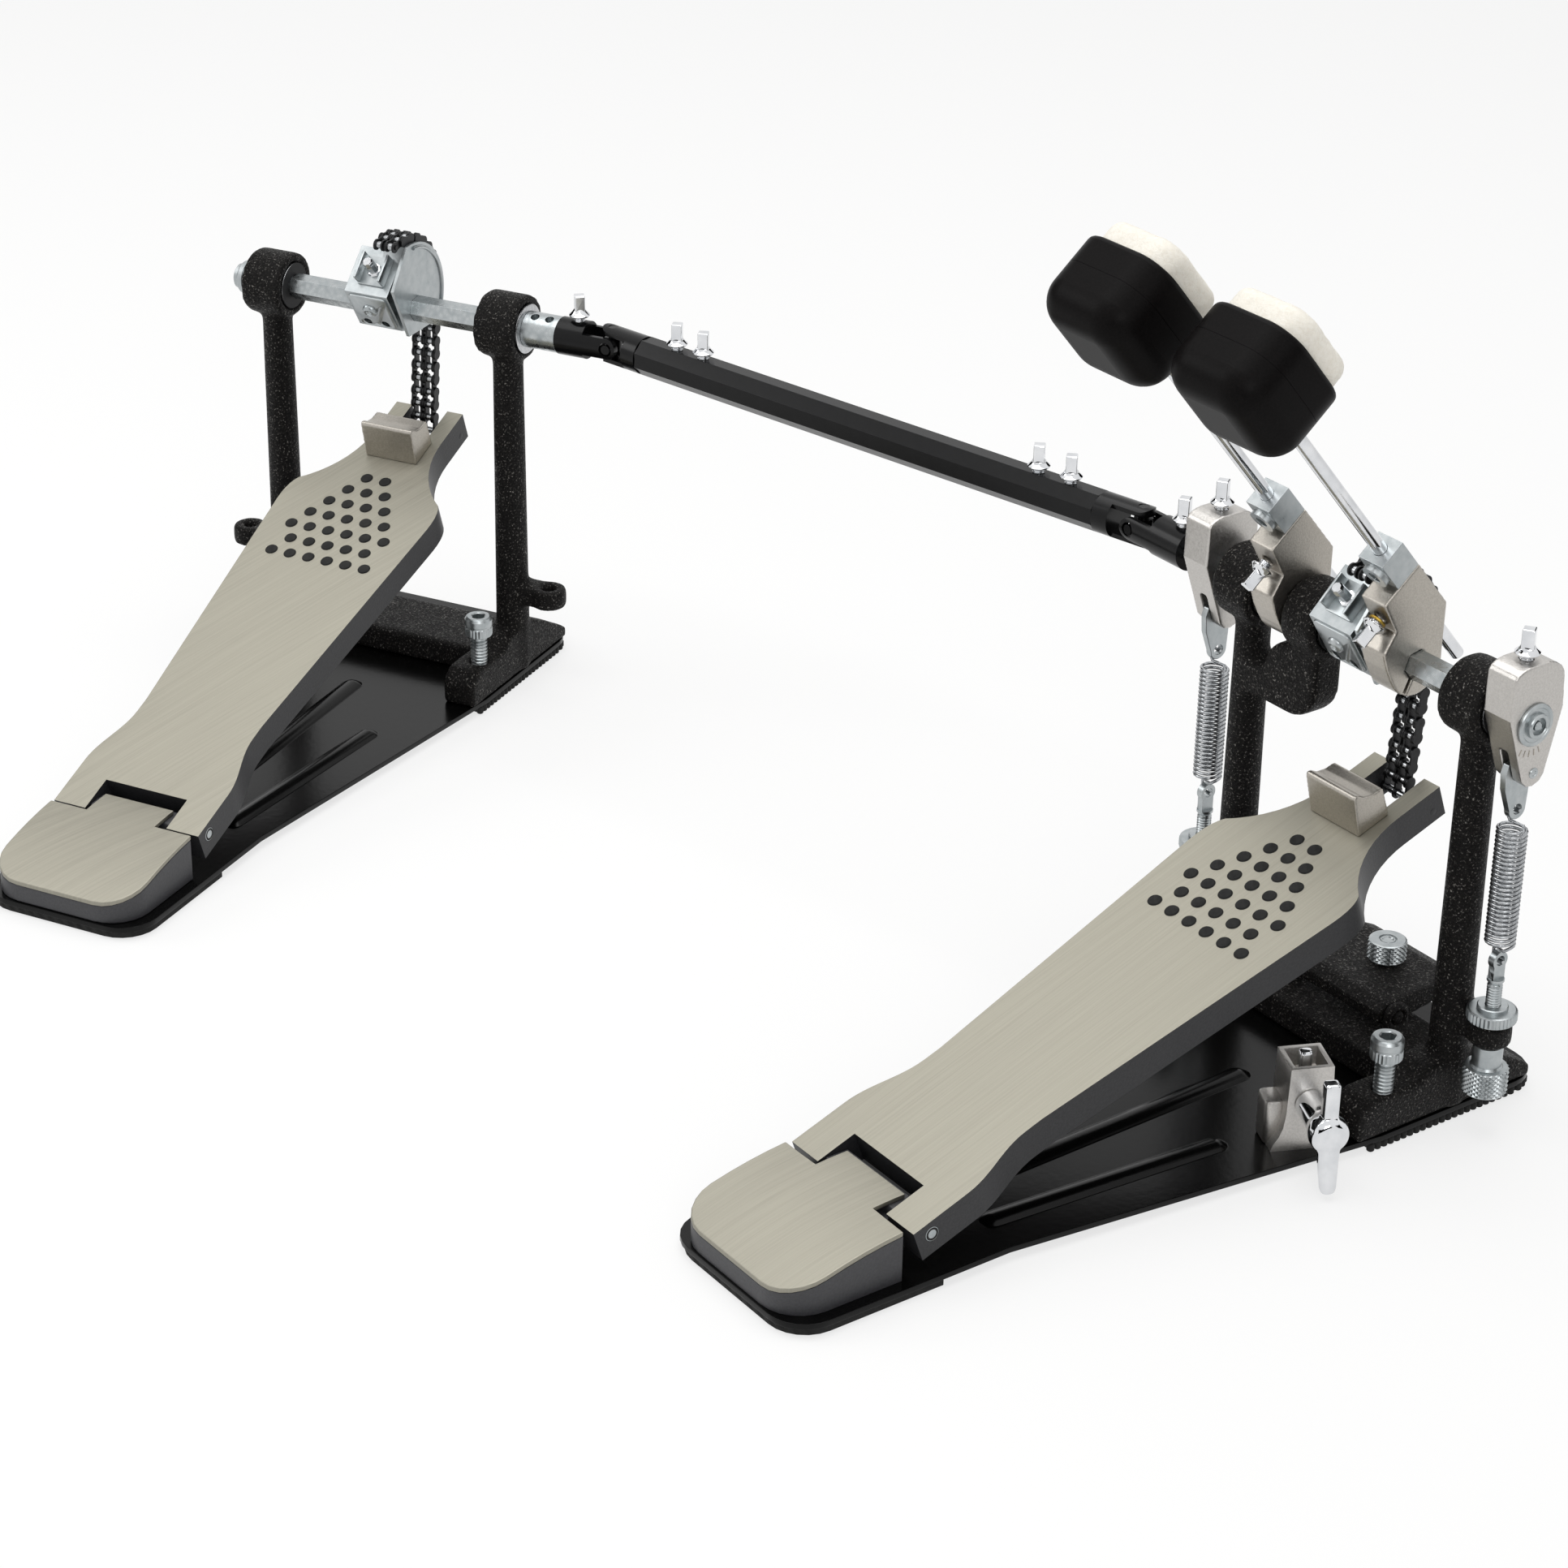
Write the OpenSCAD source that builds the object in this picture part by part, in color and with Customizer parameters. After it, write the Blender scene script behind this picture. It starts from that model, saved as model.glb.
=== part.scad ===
// Double bass drum pedal: a main pedal with two beaters, and a second pedal that
// drives the left beater through a shaft with two universal joints.
// Frame: X to the player's right, Y from heel to drum, Z up. The origin is on the
// floor under the hinge pin of the main (right) pedal, in the middle of its width.

/* [Layout] */
// Distance from the hinge pin forward to the axle
axle_y = 239; // [225:1:255]
// Height of the axle above the floor
axle_z = 180; // [170:1:195]
// Sideways place of the second pedal's hinge, from the main pedal's
left_x = -415.5; // [-440:0.5:-400]
// Forward place of the second pedal's hinge, from the main pedal's
left_y = -89.5; // [-110:0.5:-70]
// Turn of the second pedal to the left, in degrees
left_turn = 28.8; // [20:0.2:35]

/* [Base] */
// Thickness of the rubber pads under the base plate
pad_t = 3.3; // [2.5:0.1:5]
// Thickness of the base plate
plate_t = 2.5; // [2:0.1:3.5]
// Width of the base plate at the heel
heel_base_w = 83; // [80:0.5:90]
// Distance from the middle to the base plate's right edge at the front
front_base_w = 62; // [61:0.5:66]
// Distance from the middle to the base plate's left edge at the front
left_base_w = 80; // [79:0.5:84]
// Distance from the hinge pin forward to the front of the base plate
base_front = 288; // [284:1:300]
// Height of the pressed ribs above the base plate
rib_h = 2.2; // [1:0.1:3]

/* [Heel] */
// Width of the heel plate
heel_w = 73; // [70:0.5:80]
// Distance from the hinge pin back to the end of the heel
heel_back = 63.5; // [60:0.5:68]
// Height of the heel plate's top at its front edge
heel_z = 27.2; // [26.8:0.1:28]
// Slope of the heel plate at its front edge, in degrees
heel_tilt = 5; // [4:0.5:6]
// Radius of the heel plate's bend
heel_curve = 200; // [180:5:300]
// Thickness of the steel heel plate
heel_plate_t = 2; // [1.5:0.1:3]
// Width of the tongue of the heel plate
tongue_w = 35.6; // [30:0.2:38]

/* [Footboard] */
// Height of the hinge pin above the floor
hinge_z = 22.3; // [21.5:0.1:22.6]
// Diameter of the hinge pin
hinge_d = 6; // [5:0.1:6.2]
// Slope of the footboard at rest, in degrees
board_angle = 19.8; // [18:0.2:21]
// Length of the footboard from its hinge end to the toe
board_l = 284.6; // [280:0.2:290]
// Width of the footboard at the hinge
board_w = 75.2; // [72:0.2:80]
// Width of the footboard where it is narrowest
waist_w = 61.2; // [56:0.2:64]
// Width of the footboard at its widest
board_max_w = 81.6; // [76:0.2:86]
// Width across both toe prongs
toe_w = 36.4; // [34:0.2:40]
// Width of the slot between the toe prongs
toe_slot_w = 19.4; // [18:0.2:20]
// Thickness of the footboard's edge
board_t = 13.8; // [12.4:0.2:16]
// Width of the toe stop
stop_w = 27.4; // [20:0.2:30]
// Height of the toe stop above the footboard
stop_h = 18.5; // [10:0.5:22]

/* [Frame] */
// Sideways place of the right post
post_right = 55; // [54:0.5:56.5]
// Sideways place of the left post
post_left = -71; // [-74:0.5:-70]
// Diameter of a post at its top
post_d = 14.4; // [12:0.2:16]
// Diameter of a bearing housing
housing_d = 31; // [28:0.5:34]
// Length of a bearing housing
housing_l = 21; // [18:0.5:22]
// Outer diameter of the bearings
bearing_d = 22; // [19:0.5:24]
// Distance from a post out to the spring lug's hole
lug_out = 18.5; // [18.5:0.5:22]
// Height of the top of the spring lugs
lug_z = 50; // [46:0.5:54]

/* [Axle] */
// Width of the hexagonal axle across its flats
hex_af = 10.6; // [10:0.1:11.4]
// Diameter of the round journals
journal_d = 10; // [8:0.1:10]
// Pitch of the double chain
chain_pitch = 6.35; // [6.2:0.05:6.6]
// Pitch radius of the chain on the sprocket
sprocket_r = 28.5; // [27.5:0.5:29.5]
// Slope of the beater rods back from upright, in degrees
beater_angle = 40; // [30:1:45]
// Diameter of the beater rods
rod_d = 5.6; // [5:0.1:6.4]
// Distance of a rod from the axle's centre line
rod_offset = 18; // [17.4:0.1:18.4]
// Distance from the axle to the middle of the right beater
right_reach = 159; // [140:1:170]
// Distance from the axle to the middle of the left beater
left_reach = 169; // [150:1:178]
// Width of a beater head
head_w = 46.4; // [40:0.2:54]
// Thickness of the plastic half of a beater head
shell_t = 34.4; // [30:0.2:38]
// Thickness of the felt half of a beater head
felt_t = 9; // [8:0.5:16]

/* [Springs] */
// Outer diameter of the springs
spring_d = 12.2; // [10:0.1:13]
// Diameter of the spring wire
wire_d = 1.35; // [1.1:0.05:1.4]
// Number of curls in a spring
spring_turns = 27; // [20:1:28]
// Pitch of the curls
spring_pitch = 1.85; // [1.82:0.01:1.9]

/* [Drive shaft] */
// Sideways distance from the main pedal's middle to the right universal joint
right_joint = 140; // [136:0.5:150]
// Sideways distance from the second pedal's middle to the left universal joint
left_joint = 110.5; // [109:0.5:116]
// Width of the drive tube across its flats
tube_af = 16.4; // [15:0.1:17.4]
// Diameter of the yokes
yoke_d = 17.6; // [17:0.1:19]

/* [Hidden] */
$fn = 48;
// Running gap between a pin or shaft and its hole, on the radius
run = 0.05;
// Gap between faces that lie beside each other
gap = 0.3;
// Overlap that joins two solids of one piece
weld = 0.4;

// Levels of the base
plate_z = pad_t;
floor_z = pad_t + plate_t;

// Footboard, in its own frame: Y along the board from the hinge pin, Z square to it
board_back = 7.2;
board_top = 5.7;
toe_y = board_l - board_back;
waist_v = [26, 60];
toe_l = 22.6;
neck_v = board_l - toe_l;
corner_v = neck_v - 56;
neck_r = 50;
notch_w = 42.4;
notch_l = 18;
slot_v = neck_v;
anchor_v = board_l - 5.6;
anchor_n = -3.3;
anchor_y = anchor_v - board_back;
anchor_d = 3.2;
skin = 3.2;
wall = 4;

// Chain and sprocket
sprocket_c = [-4.5, 5.5];
flange_c = [-2.5, 3.5];
flange_r = 28.5;
chain_w = 12.8;
chain_x = -1.9;
plate_w = 0.9;
roller_d = 3.3;
link_h = 5.2;
cheek_t = 1.3;
anchor = [anchor_y * cos(board_angle) - anchor_n * sin(board_angle),
    hinge_z + anchor_y * sin(board_angle) + anchor_n * cos(board_angle)];
circle_c = [axle_y + sprocket_c[0], axle_z + sprocket_c[1]];
to_anchor = anchor - circle_c;
anchor_dist = norm(to_anchor);
run_l = sqrt(anchor_dist * anchor_dist - sprocket_r * sprocket_r);
tangent_a = atan2(to_anchor[1], to_anchor[0]) + acos(sprocket_r / anchor_dist);
tangent = circle_c + sprocket_r * [cos(tangent_a), sin(tangent_a)];
run_dir = (tangent - anchor) / run_l;
run_links = 2 * floor((run_l / chain_pitch - 0.6) / 2) + 1;
wrap_links = 7;

// Places along the main axle
hub_w = 13;
right_hub = chain_x + chain_w / 2 + gap + cheek_t + gap + hub_w / 2;
left_hub = post_left + housing_l / 2 + 4.5 + hub_w / 2;
inner_l = 18;
inner_x = left_hub + hub_w / 2 + 2 + inner_l / 2;
shaft_gap = 2;
cam_w = 14.4;
cam_right = post_right + lug_out;
cam_left = post_left - lug_out - 4.5;
cam_slot = 3.8;
cam_pin = [2.3, -20.8];
cam_pin_d = 4;
link_t = 3;
link_l = 17.5;
hook_hole_d = 4.2;
lug_y = axle_y + cam_pin[0];
lug_t = 10;

// Springs hang straight down from the cam pins
link_z = axle_z + cam_pin[1];
hook_z = link_z - link_l;
coil_top = hook_z - 8;
coil_bottom = coil_top - spring_turns * spring_pitch;
eye_z = coil_bottom - 7.2;
coil_r = (spring_d - wire_d) / 2;
bolt_d = 6;

// Hub and rod holder, in the beater's frame: X towards the drum, Y along the rod
holder_base = 35.3;
holder_top = 50;
holder_t = 12.4;
rod_tail = 22;

// Universal joints
joint_r = [-right_joint, axle_y, axle_z];
joint_l = [left_x + left_joint * cos(left_turn) - axle_y * sin(left_turn),
    left_y + left_joint * sin(left_turn) + axle_y * cos(left_turn), axle_z];
drive_l = norm(joint_r - joint_l);
drive_turn = atan2(joint_r[1] - joint_l[1], joint_r[0] - joint_l[0]);
fork_l = 12.5;
fork_t = 3.4;
fork_w = 9.8;
cross_d = 4.4;
cross_l = yoke_d - 0.6;
open_bore = cross_d + 2;
axle_hub = 14;
slave_hub = 18;
drive_hub = 8;
tube_bore = 11;

// Hoop clamp
jaw_x = [-36, 20];
jaw_pivot = [axle_y + 4, 25.5];
jaw_pin_d = 6;
jaw_front = base_front - 2;
knob_x = -7;
knob_y = axle_y + 26;
jaw_top = 31;
block_at = [44.4, 173.6];
block_turn = -24.6;
bolt_z = 26.5;
bolt_out = 35.5;

// Colours
black = "#232120";
charcoal = "#3a3a3c";
brushed = "#b9b7ac";
plated = "#b4b9bd";
chrome = "#d5d7da";
zinc = "#9a9794";
rubber = "#1c1c1c";
felt = "#efe9dc";
plastic = "#1f1c1b";

// Places a piece of the second pedal, drawn as if it belonged to the main one
module second() {
    translate([left_x, left_y, 0])
        rotate([0, 0, left_turn])
            children();
}

// Draws in the footboard's own frame
module on_board() {
    translate([0, 0, hinge_z])
        rotate([board_angle, 0, 0])
            children();
}

// Extrudes a flat shape drawn in Y and Z along X, about the middle x
module slice(x, w) {
    translate([x - w / 2, 0, 0])
        rotate([90, 0, 90])
            linear_extrude(w)
                children();
}

// Extrudes a flat shape drawn about the axle along X
module axle_slice(x, w) {
    translate([0, axle_y, axle_z])
        slice(x, w)
            children();
}

// As axle_slice, in the beater's frame
module beater_slice(x, w) {
    translate([0, axle_y, axle_z])
        rotate([beater_angle, 0, 0])
            slice(x, w)
                children();
}

// A solid placed in the beater's frame: X stays, Y towards the drum, Z along the rod
module in_beater(x) {
    translate([x, axle_y, axle_z])
        rotate([beater_angle, 0, 0])
            children();
}

// A round bar along X, from a to b, on the axle's line
module axle_rod(a, b, d, sides = 48) {
    translate([a, axle_y, axle_z])
        rotate([0, 90, 0])
            cylinder(d = d, h = b - a, $fn = sides);
}

// The hexagonal bar, from a to b, with a flat on top; grow widens it on every flat
module axle_hex(a, b, grow = 0) {
    translate([a, axle_y, axle_z])
        rotate([beater_angle, 0, 0])
            rotate([0, 90, 0])
                cylinder(d = (hex_af + 2 * grow) / cos(30), h = b - a, $fn = 6);
}

key_af = 5;
key_d = 5;
key_collar_d = 9.6;
key_collar_t = 1.2;
key_cone_t = 2.4;
key_turn = 25;

// A drum-key screw that stands on its seat, with its shank below it
module key_screw(shank = 4, head = 9) {
    translate([0, 0, -shank])
        cylinder(d = key_d, h = shank + weld);
    cylinder(d1 = key_collar_d - key_collar_t, d2 = key_collar_d, h = key_collar_t);
    translate([0, 0, key_collar_t])
        cylinder(d1 = key_collar_d, d2 = key_af, h = key_cone_t);
    translate([0, 0, key_collar_t + key_cone_t - weld])
        rotate([0, 0, key_turn])
            cylinder(d = key_af / cos(45), h = head, $fn = 4);
}

// Hole for a key screw's shank
module key_hole(shank = 4) {
    translate([0, 0, -shank - gap])
        cylinder(d = key_d + 2 * run, h = shank + 3 * gap);
}

// Base plates

heel_in = 16;
taper_y = [34, 200];
front_r = 16;

// One side of the outline, b wide at the front, from the heel to the front
function base_side(b, inset) =
    let (a = heel_base_w / 2 - inset,
        w = b - inset,
        back = -heel_back - 1 + inset,
        front = base_front - inset)
    concat(
        [for (t = [-90:15:0]) [a - heel_in + heel_in * cos(t), back + heel_in + heel_in * sin(t)]],
        [[a, taper_y[0]], [w, taper_y[1]]],
        [for (t = [0:15:90]) [w - front_r + front_r * cos(t), front - front_r + front_r * sin(t)]]);

module base_outline(inset = 0) {
    right = base_side(front_base_w, inset);
    left = base_side(left_base_w, inset);
    polygon(concat(right, [for (i = [len(left) - 1:-1:0]) [-left[i][0], left[i][1]]]));
}

// A pressed bead with round ends, between two points of the plate
module rib(from, to) {
    r = 7;
    l = norm(to - from);
    translate([from[0], from[1], floor_z + rib_h - r])
        rotate([0, 0, atan2(to[1] - from[1], to[0] - from[0])]) {
            rotate([0, 90, 0])
                cylinder(r = r, h = l);
            sphere(r = r);
            translate([l, 0, 0])
                sphere(r = r);
        }
}

rib_inner = [[0, 34], [-3, 184]];
rib_outer = [[23, 40], [31, 142]];

module base_plate() {
    color(black)
        difference() {
            union() {
                translate([0, 0, plate_z])
                    linear_extrude(plate_t)
                        base_outline();
                rib(rib_inner[0], rib_inner[1]);
                rib(rib_outer[0], rib_outer[1]);
                rib([-rib_outer[0][0], rib_outer[0][1]], [-rib_outer[1][0], rib_outer[1][1]]);
            }
            translate([0, base_front / 2, plate_z - 25])
                cube([3 * left_base_w, 3 * base_front, 50], center = true);
            spur_bores();
        }
}

module right_base_plate() { base_plate(); }
module left_base_plate() { second() base_plate(); }

pad_in = 1.2;

module pads() {
    linear_extrude(pad_t)
        intersection() {
            base_outline(pad_in);
            translate([-left_base_w, -heel_back - 5])
                square([2 * left_base_w, heel_back + 9]);
        }
    difference() {
        linear_extrude(pad_t)
            intersection() {
                base_outline(pad_in);
                translate([-left_base_w, taper_y[1] - 4])
                    square([2 * left_base_w, base_front]);
            }
        spur_bores();
    }
}

module base_pads() {
    color(rubber) {
        pads();
        second() pads();
    }
}

// Spur screws, at the outer sides of the feet

spur_y = 205;
spur_in = 0.6;
spur_d = 8;
spur_head_d = 13;
spur_top = 47;
spur_right = post_right + spur_in;
spur_left = post_left - spur_in;

module spur_bores() {
    for (x = [spur_right, spur_left])
        translate([x, spur_y, -1])
            cylinder(d = spur_d + 2 * gap, h = spur_top);
}

module spur(x) {
    tip = 6;
    translate([x, spur_y, 1]) {
        cylinder(d1 = 2, d2 = spur_d, h = tip);
        translate([0, 0, tip - weld])
            cylinder(d = spur_d, h = spur_top - 10 - tip);
        translate([0, 0, spur_top - 12])
            difference() {
                cylinder(d = spur_head_d, h = 10);
                translate([0, 0, 6])
                    cylinder(d = 6 / cos(30), h = 10, $fn = 6);
            }
    }
}

module spurs() {
    spur(spur_right);
    spur(spur_left);
}

module spur_screws() {
    color(plated) {
        spurs();
        second() spurs();
    }
}

// Cast frames

foot_w = 17;
foot_back = spur_y - 17;
foot_front = base_front - 8;
foot_z = floor_z + 17;
foot_hump = floor_z + 22;

module foot(x, out) {
    slice(x + out, foot_w)
        polygon([[foot_back, floor_z], [foot_front, floor_z], [foot_front, floor_z + 5],
            [axle_y + 20, foot_z], [axle_y + 10, foot_hump], [axle_y - 14, foot_hump], [spur_y + 12, foot_z],
            [spur_y - 11, foot_z], [foot_back, floor_z + 12]]);
}

module post(x) {
    translate([x, axle_y, floor_z])
        cylinder(d1 = post_d + 2, d2 = post_d, h = axle_z - floor_z - bearing_d / 2 - 2);
    axle_rod(x - housing_l / 2, x + housing_l / 2, housing_d);
}

module lug(x, post) {
    r = 8.5;
    translate([x, lug_y, lug_z - lug_t])
        cylinder(r = r, h = lug_t);
    translate([min(x, post), lug_y - 7, lug_z - lug_t])
        cube([abs(x - post), 14, lug_t]);
}

bar_y = [axle_y - 16, axle_y + 22];
bar_z = 18.5;

module frame_body() {
    foot(post_right, -1.5);
    foot(post_left, 1.5);
    post(post_right);
    post(post_left);
    lug(cam_right, post_right);
    lug(cam_left, post_left);
    translate([post_left, bar_y[0], floor_z])
        cube([post_right - post_left, bar_y[1] - bar_y[0], bar_z - floor_z]);
}

module frame_bores() {
    spur_bores();
    axle_rod(post_left - housing_l, post_left + housing_l, bearing_d + 2 * run);
    axle_rod(post_right - housing_l, post_right + housing_l, bearing_d + 2 * run);
    for (x = [cam_left, cam_right])
        translate([x, lug_y, lug_z - lug_t - 1])
            cylinder(d = bolt_d + 2 * gap, h = lug_t + 2);
}

arm_z = axle_z - 44;
arm_t = 14.6;
arm_w = 14.4;
arm_r = 15;
arm_leg = 10;
arm_fillet = 5;

// The hooked arm that carries the bearing between the two axles
module inner_arm() {
    left = inner_x - arm_leg / 2;
    right = inner_x + arm_leg / 2;
    translate([0, axle_y + arm_w / 2, 0])
        rotate([90, 0, 0])
            linear_extrude(arm_w) {
                translate([post_left, arm_z])
                    square([right - arm_r - post_left, arm_t]);
                translate([right - arm_r, arm_z + arm_r])
                    circle(r = arm_r);
                difference() {
                    translate([left - arm_fillet, arm_z + arm_t - weld])
                        square([arm_fillet + weld, arm_fillet + weld]);
                    translate([left - arm_fillet, arm_z + arm_t + arm_fillet])
                        circle(r = arm_fillet);
                }
                translate([left, arm_z + arm_r])
                    square([arm_leg, axle_z - arm_z - arm_r - bearing_d / 2 - 2]);
            }
    axle_rod(inner_x - inner_l / 2, inner_x + inner_l / 2, housing_d);
}

ear_w = 4;

// Ears on the crossbar that carry the hoop jaw
module jaw_ears() {
    for (x = [jaw_x[0] - gap - ear_w, jaw_x[1] + gap])
        translate([x, 0, 0])
            rotate([90, 0, 90])
                linear_extrude(ear_w) {
                    translate(jaw_pivot)
                        circle(d = jaw_pin_d + 7);
                    translate([jaw_pivot[0] - jaw_pin_d / 2 - 3.5, bar_z - weld])
                        square([jaw_pin_d + 7, jaw_pivot[1] - bar_z + weld]);
                }
}

module right_frame() {
    color(black)
        difference() {
            union() {
                frame_body();
                inner_arm();
                jaw_ears();
            }
            frame_bores();
            axle_rod(inner_x - inner_l, inner_x + inner_l, bearing_d + 2 * run);
            translate([jaw_x[0] - 20, jaw_pivot[0], jaw_pivot[1]])
                rotate([0, 90, 0])
                    cylinder(d = jaw_pin_d + 2 * run, h = jaw_x[1] - jaw_x[0] + 40);
        }
}

module left_frame() {
    color(black)
        second()
            difference() {
                frame_body();
                frame_bores();
            }
}

module bearing(x, l) {
    difference() {
        axle_rod(x - l / 2, x + l / 2, bearing_d);
        axle_rod(x - l, x + l, journal_d + 2 * run);
    }
}

module axle_bearings() {
    color(plated) {
        bearing(post_right, housing_l);
        bearing(post_left, housing_l);
        bearing(inner_x, inner_l);
        second() {
            bearing(post_right, housing_l);
            bearing(post_left, housing_l);
        }
    }
}

// Heels

heel_front = 12.4;
heel_r = 17;
knuckle_d = 12;
knuckle_w = notch_w - 2 * gap;

module heel_outline() {
    a = heel_w / 2;
    rear = [for (t = [-90:15:0]) [a - heel_r + heel_r * cos(t), heel_r - heel_back + heel_r * sin(t)]];
    half = concat(rear, [[a, -heel_front]]);
    polygon(concat(half, [for (i = [len(half) - 1:-1:0]) [-half[i][0], half[i][1]]]));
}

heel_c = [heel_curve * sin(heel_tilt) - heel_front, heel_z - heel_curve * cos(heel_tilt)];

// Everything under the bent surface that lies the given distance above the heel plate's top
module heel_round(level) {
    translate([-heel_w, heel_c[0], heel_c[1]])
        rotate([0, 90, 0])
            cylinder(r = heel_curve + level, h = 2 * heel_w, $fn = 360);
}

module heel_block() {
    color(charcoal)
        difference() {
            intersection() {
                union() {
                    translate([0, 0, floor_z])
                        linear_extrude(heel_z)
                            heel_outline();
                    translate([-knuckle_w / 2, 0, hinge_z])
                        rotate([0, 90, 0])
                            cylinder(d = knuckle_d, h = knuckle_w);
                    translate([-knuckle_w / 2, -heel_front - weld, floor_z])
                        cube([knuckle_w, heel_front + weld, hinge_z - floor_z]);
                }
                heel_round(-heel_plate_t);
            }
            translate([-heel_w, 0, hinge_z])
                rotate([0, 90, 0])
                    cylinder(d = hinge_d, h = 2 * heel_w);
        }
}

module right_heel_block() { heel_block(); }
module left_heel_block() { second() heel_block(); }

tongue_l = 15;

module heel_plate() {
    difference() {
        intersection() {
            heel_round(0);
            translate([0, 0, floor_z])
                linear_extrude(2 * heel_z) {
                    heel_outline();
                    translate([-tongue_w / 2, -heel_front - 1])
                        square([tongue_w, tongue_l + 1]);
                }
        }
        heel_round(-heel_plate_t);
    }
}

module heel_plates() {
    color(brushed) {
        heel_plate();
        second() heel_plate();
    }
}

module hinge_pin() {
    translate([-board_w / 2, 0, hinge_z])
        rotate([0, 90, 0])
            cylinder(d = hinge_d, h = board_w);
}

module hinge_pins() {
    color(plated) {
        hinge_pin();
        second() hinge_pin();
    }
}

// Footboards

// Half width of the board between its waist and its widest place
function side_half(v) = waist_w / 2
    + (board_max_w - waist_w) / 2 * max(0, (v - waist_v[1] - 8) / (corner_v - waist_v[1] - 8));

// A curve with one control point
function bend(a, b, c, t) = (1 - t) * (1 - t) * a + 2 * t * (1 - t) * b + t * t * c;

// The half outline, inset by a margin, from the hinge end to the neck
function board_half(inset) =
    let (hinge = board_w / 2,
        waist = waist_w / 2,
        widest = board_max_w / 2,
        neck = toe_w / 2,
        arc_from = 53,
        neck_c = [neck + neck_r, neck_v],
        arc_start = neck_c + neck_r * [-cos(arc_from), -sin(arc_from)],
        corner = [widest + 0.6, corner_v + 11])
    concat(
        [for (t = [0:15:180]) [waist + (hinge - waist) * (1 + cos(t)) / 2 - inset,
            waist_v[0] + (waist_v[1] - waist_v[0]) * t / 180]],
        [[side_half(waist_v[1] + 8) - inset, waist_v[1] + 8]],
        [for (t = [0:0.2:1]) bend([widest, corner_v], corner, arc_start, t) - [inset, 0]],
        [for (a = [arc_from - 6:-6:0]) neck_c + neck_r * [-cos(a), -sin(a)] - [inset, 0]],
        [[neck - inset, neck_v]]);

module board_outline(inset, from, to) {
    half = concat([[board_w / 2 - inset, from]], board_half(inset), [[toe_w / 2 - inset, to]]);
    polygon(concat(half, [for (i = [len(half) - 1:-1:0]) [-half[i][0], half[i][1]]]));
}

module footboard() {
    color(charcoal)
        on_board()
            difference() {
                translate([0, -board_back, board_top - board_t])
                    linear_extrude(board_t)
                        difference() {
                            board_outline(0, 0, board_l);
                            translate([-notch_w / 2, -1])
                                square([notch_w, notch_l + 1]);
                            translate([-toe_slot_w / 2, slot_v])
                                square([toe_slot_w, board_l]);
                        }
                translate([0, -board_back, board_top - board_t - 1])
                    linear_extrude(board_t - skin + 1)
                        intersection() {
                            board_outline(wall, waist_v[0], neck_v);
                            translate([-board_w, notch_l + wall])
                                square([2 * board_w, slot_v - notch_l - 2 * wall]);
                        }
                translate([-board_w, 0, 0])
                    rotate([0, 90, 0])
                        cylinder(d = hinge_d + 2 * run, h = 2 * board_w);
                translate([-toe_w, anchor_y, anchor_n])
                    rotate([0, 90, 0])
                        cylinder(d = anchor_d + 2 * run, h = 2 * toe_w);
            }
}

module right_footboard() { footboard(); }
module left_footboard() { second() footboard(); }

stop_l = 16.4;
stop_v = slot_v - stop_l - gap;

module toe_stop() {
    color(zinc)
        on_board()
            translate([0, -board_back, board_top])
                slice(0, stop_w)
                    translate([stop_v, 0])
                        polygon([[0, 0], [2, stop_h - 1], [3, stop_h], [4.6, stop_h - 0.6], [7, stop_h - 3],
                            [11, stop_h - 4.6], [stop_l, stop_h - 5], [stop_l, 0]]);
}

module right_toe_stop() { toe_stop(); }
module left_toe_stop() { second() toe_stop(); }

// Chains

// A pin's place on the chain's path, by its number from the anchor, in Y and Z
function chain_pin(k) =
    let (s = k * chain_pitch)
    s <= run_l ? anchor + s * run_dir
        : let (a = tangent_a + (s - run_l) / sprocket_r * 180 / PI)
            circle_c + sprocket_r * [cos(a), sin(a)];

// One side plate of a link between two pins, at x
module link_plate(k, x) {
    a = chain_pin(k);
    b = chain_pin(k + 1);
    l = norm(b - a);
    translate([chain_x + x - plate_w / 2, a[0], a[1]])
        rotate([atan2(b[1] - a[1], b[0] - a[0]), 0, 0])
            rotate([90, 0, 90])
                linear_extrude(plate_w) {
                    circle(d = link_h);
                    translate([l, 0])
                        circle(d = link_h);
                    translate([0, -link_h / 2 + 0.7])
                        square([l, link_h - 1.4]);
                }
}

// A bar along X through pin k
module link_bar(k, from, to, d) {
    p = chain_pin(k);
    translate([chain_x + from, p[0], p[1]])
        rotate([0, 90, 0])
            cylinder(d = d, h = to - from);
}

outer_x = chain_w / 2 - plate_w / 2;
inner_x1 = outer_x - plate_w - 0.2;
inner_x2 = plate_w + 0.2;

module outer_link(k) {
    for (x = [-outer_x, 0, outer_x])
        link_plate(k, x);
}

// The roller of one strand, between its two inner plates
module roller(k, side) {
    from = side * inner_x2;
    to = side * inner_x1;
    link_bar(k, min(from, to), max(from, to), roller_d);
}

module inner_link(k) {
    for (side = [-1, 1]) {
        link_plate(k, side * inner_x1);
        link_plate(k, side * inner_x2);
        roller(k, side);
        roller(k + 1, side);
    }
}

// The straight run, one rigid group, with the anchor pin that turns in the toe prongs
module chain_run() {
    color(black) {
        for (k = [0:2:run_links - 1])
            outer_link(k);
        for (k = [1:2:run_links - 2])
            inner_link(k);
        for (k = [1:run_links - 1])
            link_bar(k, -outer_x, outer_x, 2.2);
        link_bar(0, -toe_w / 2 - chain_x + 0.6, toe_w / 2 - chain_x - 0.6, anchor_d);
    }
}

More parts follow.
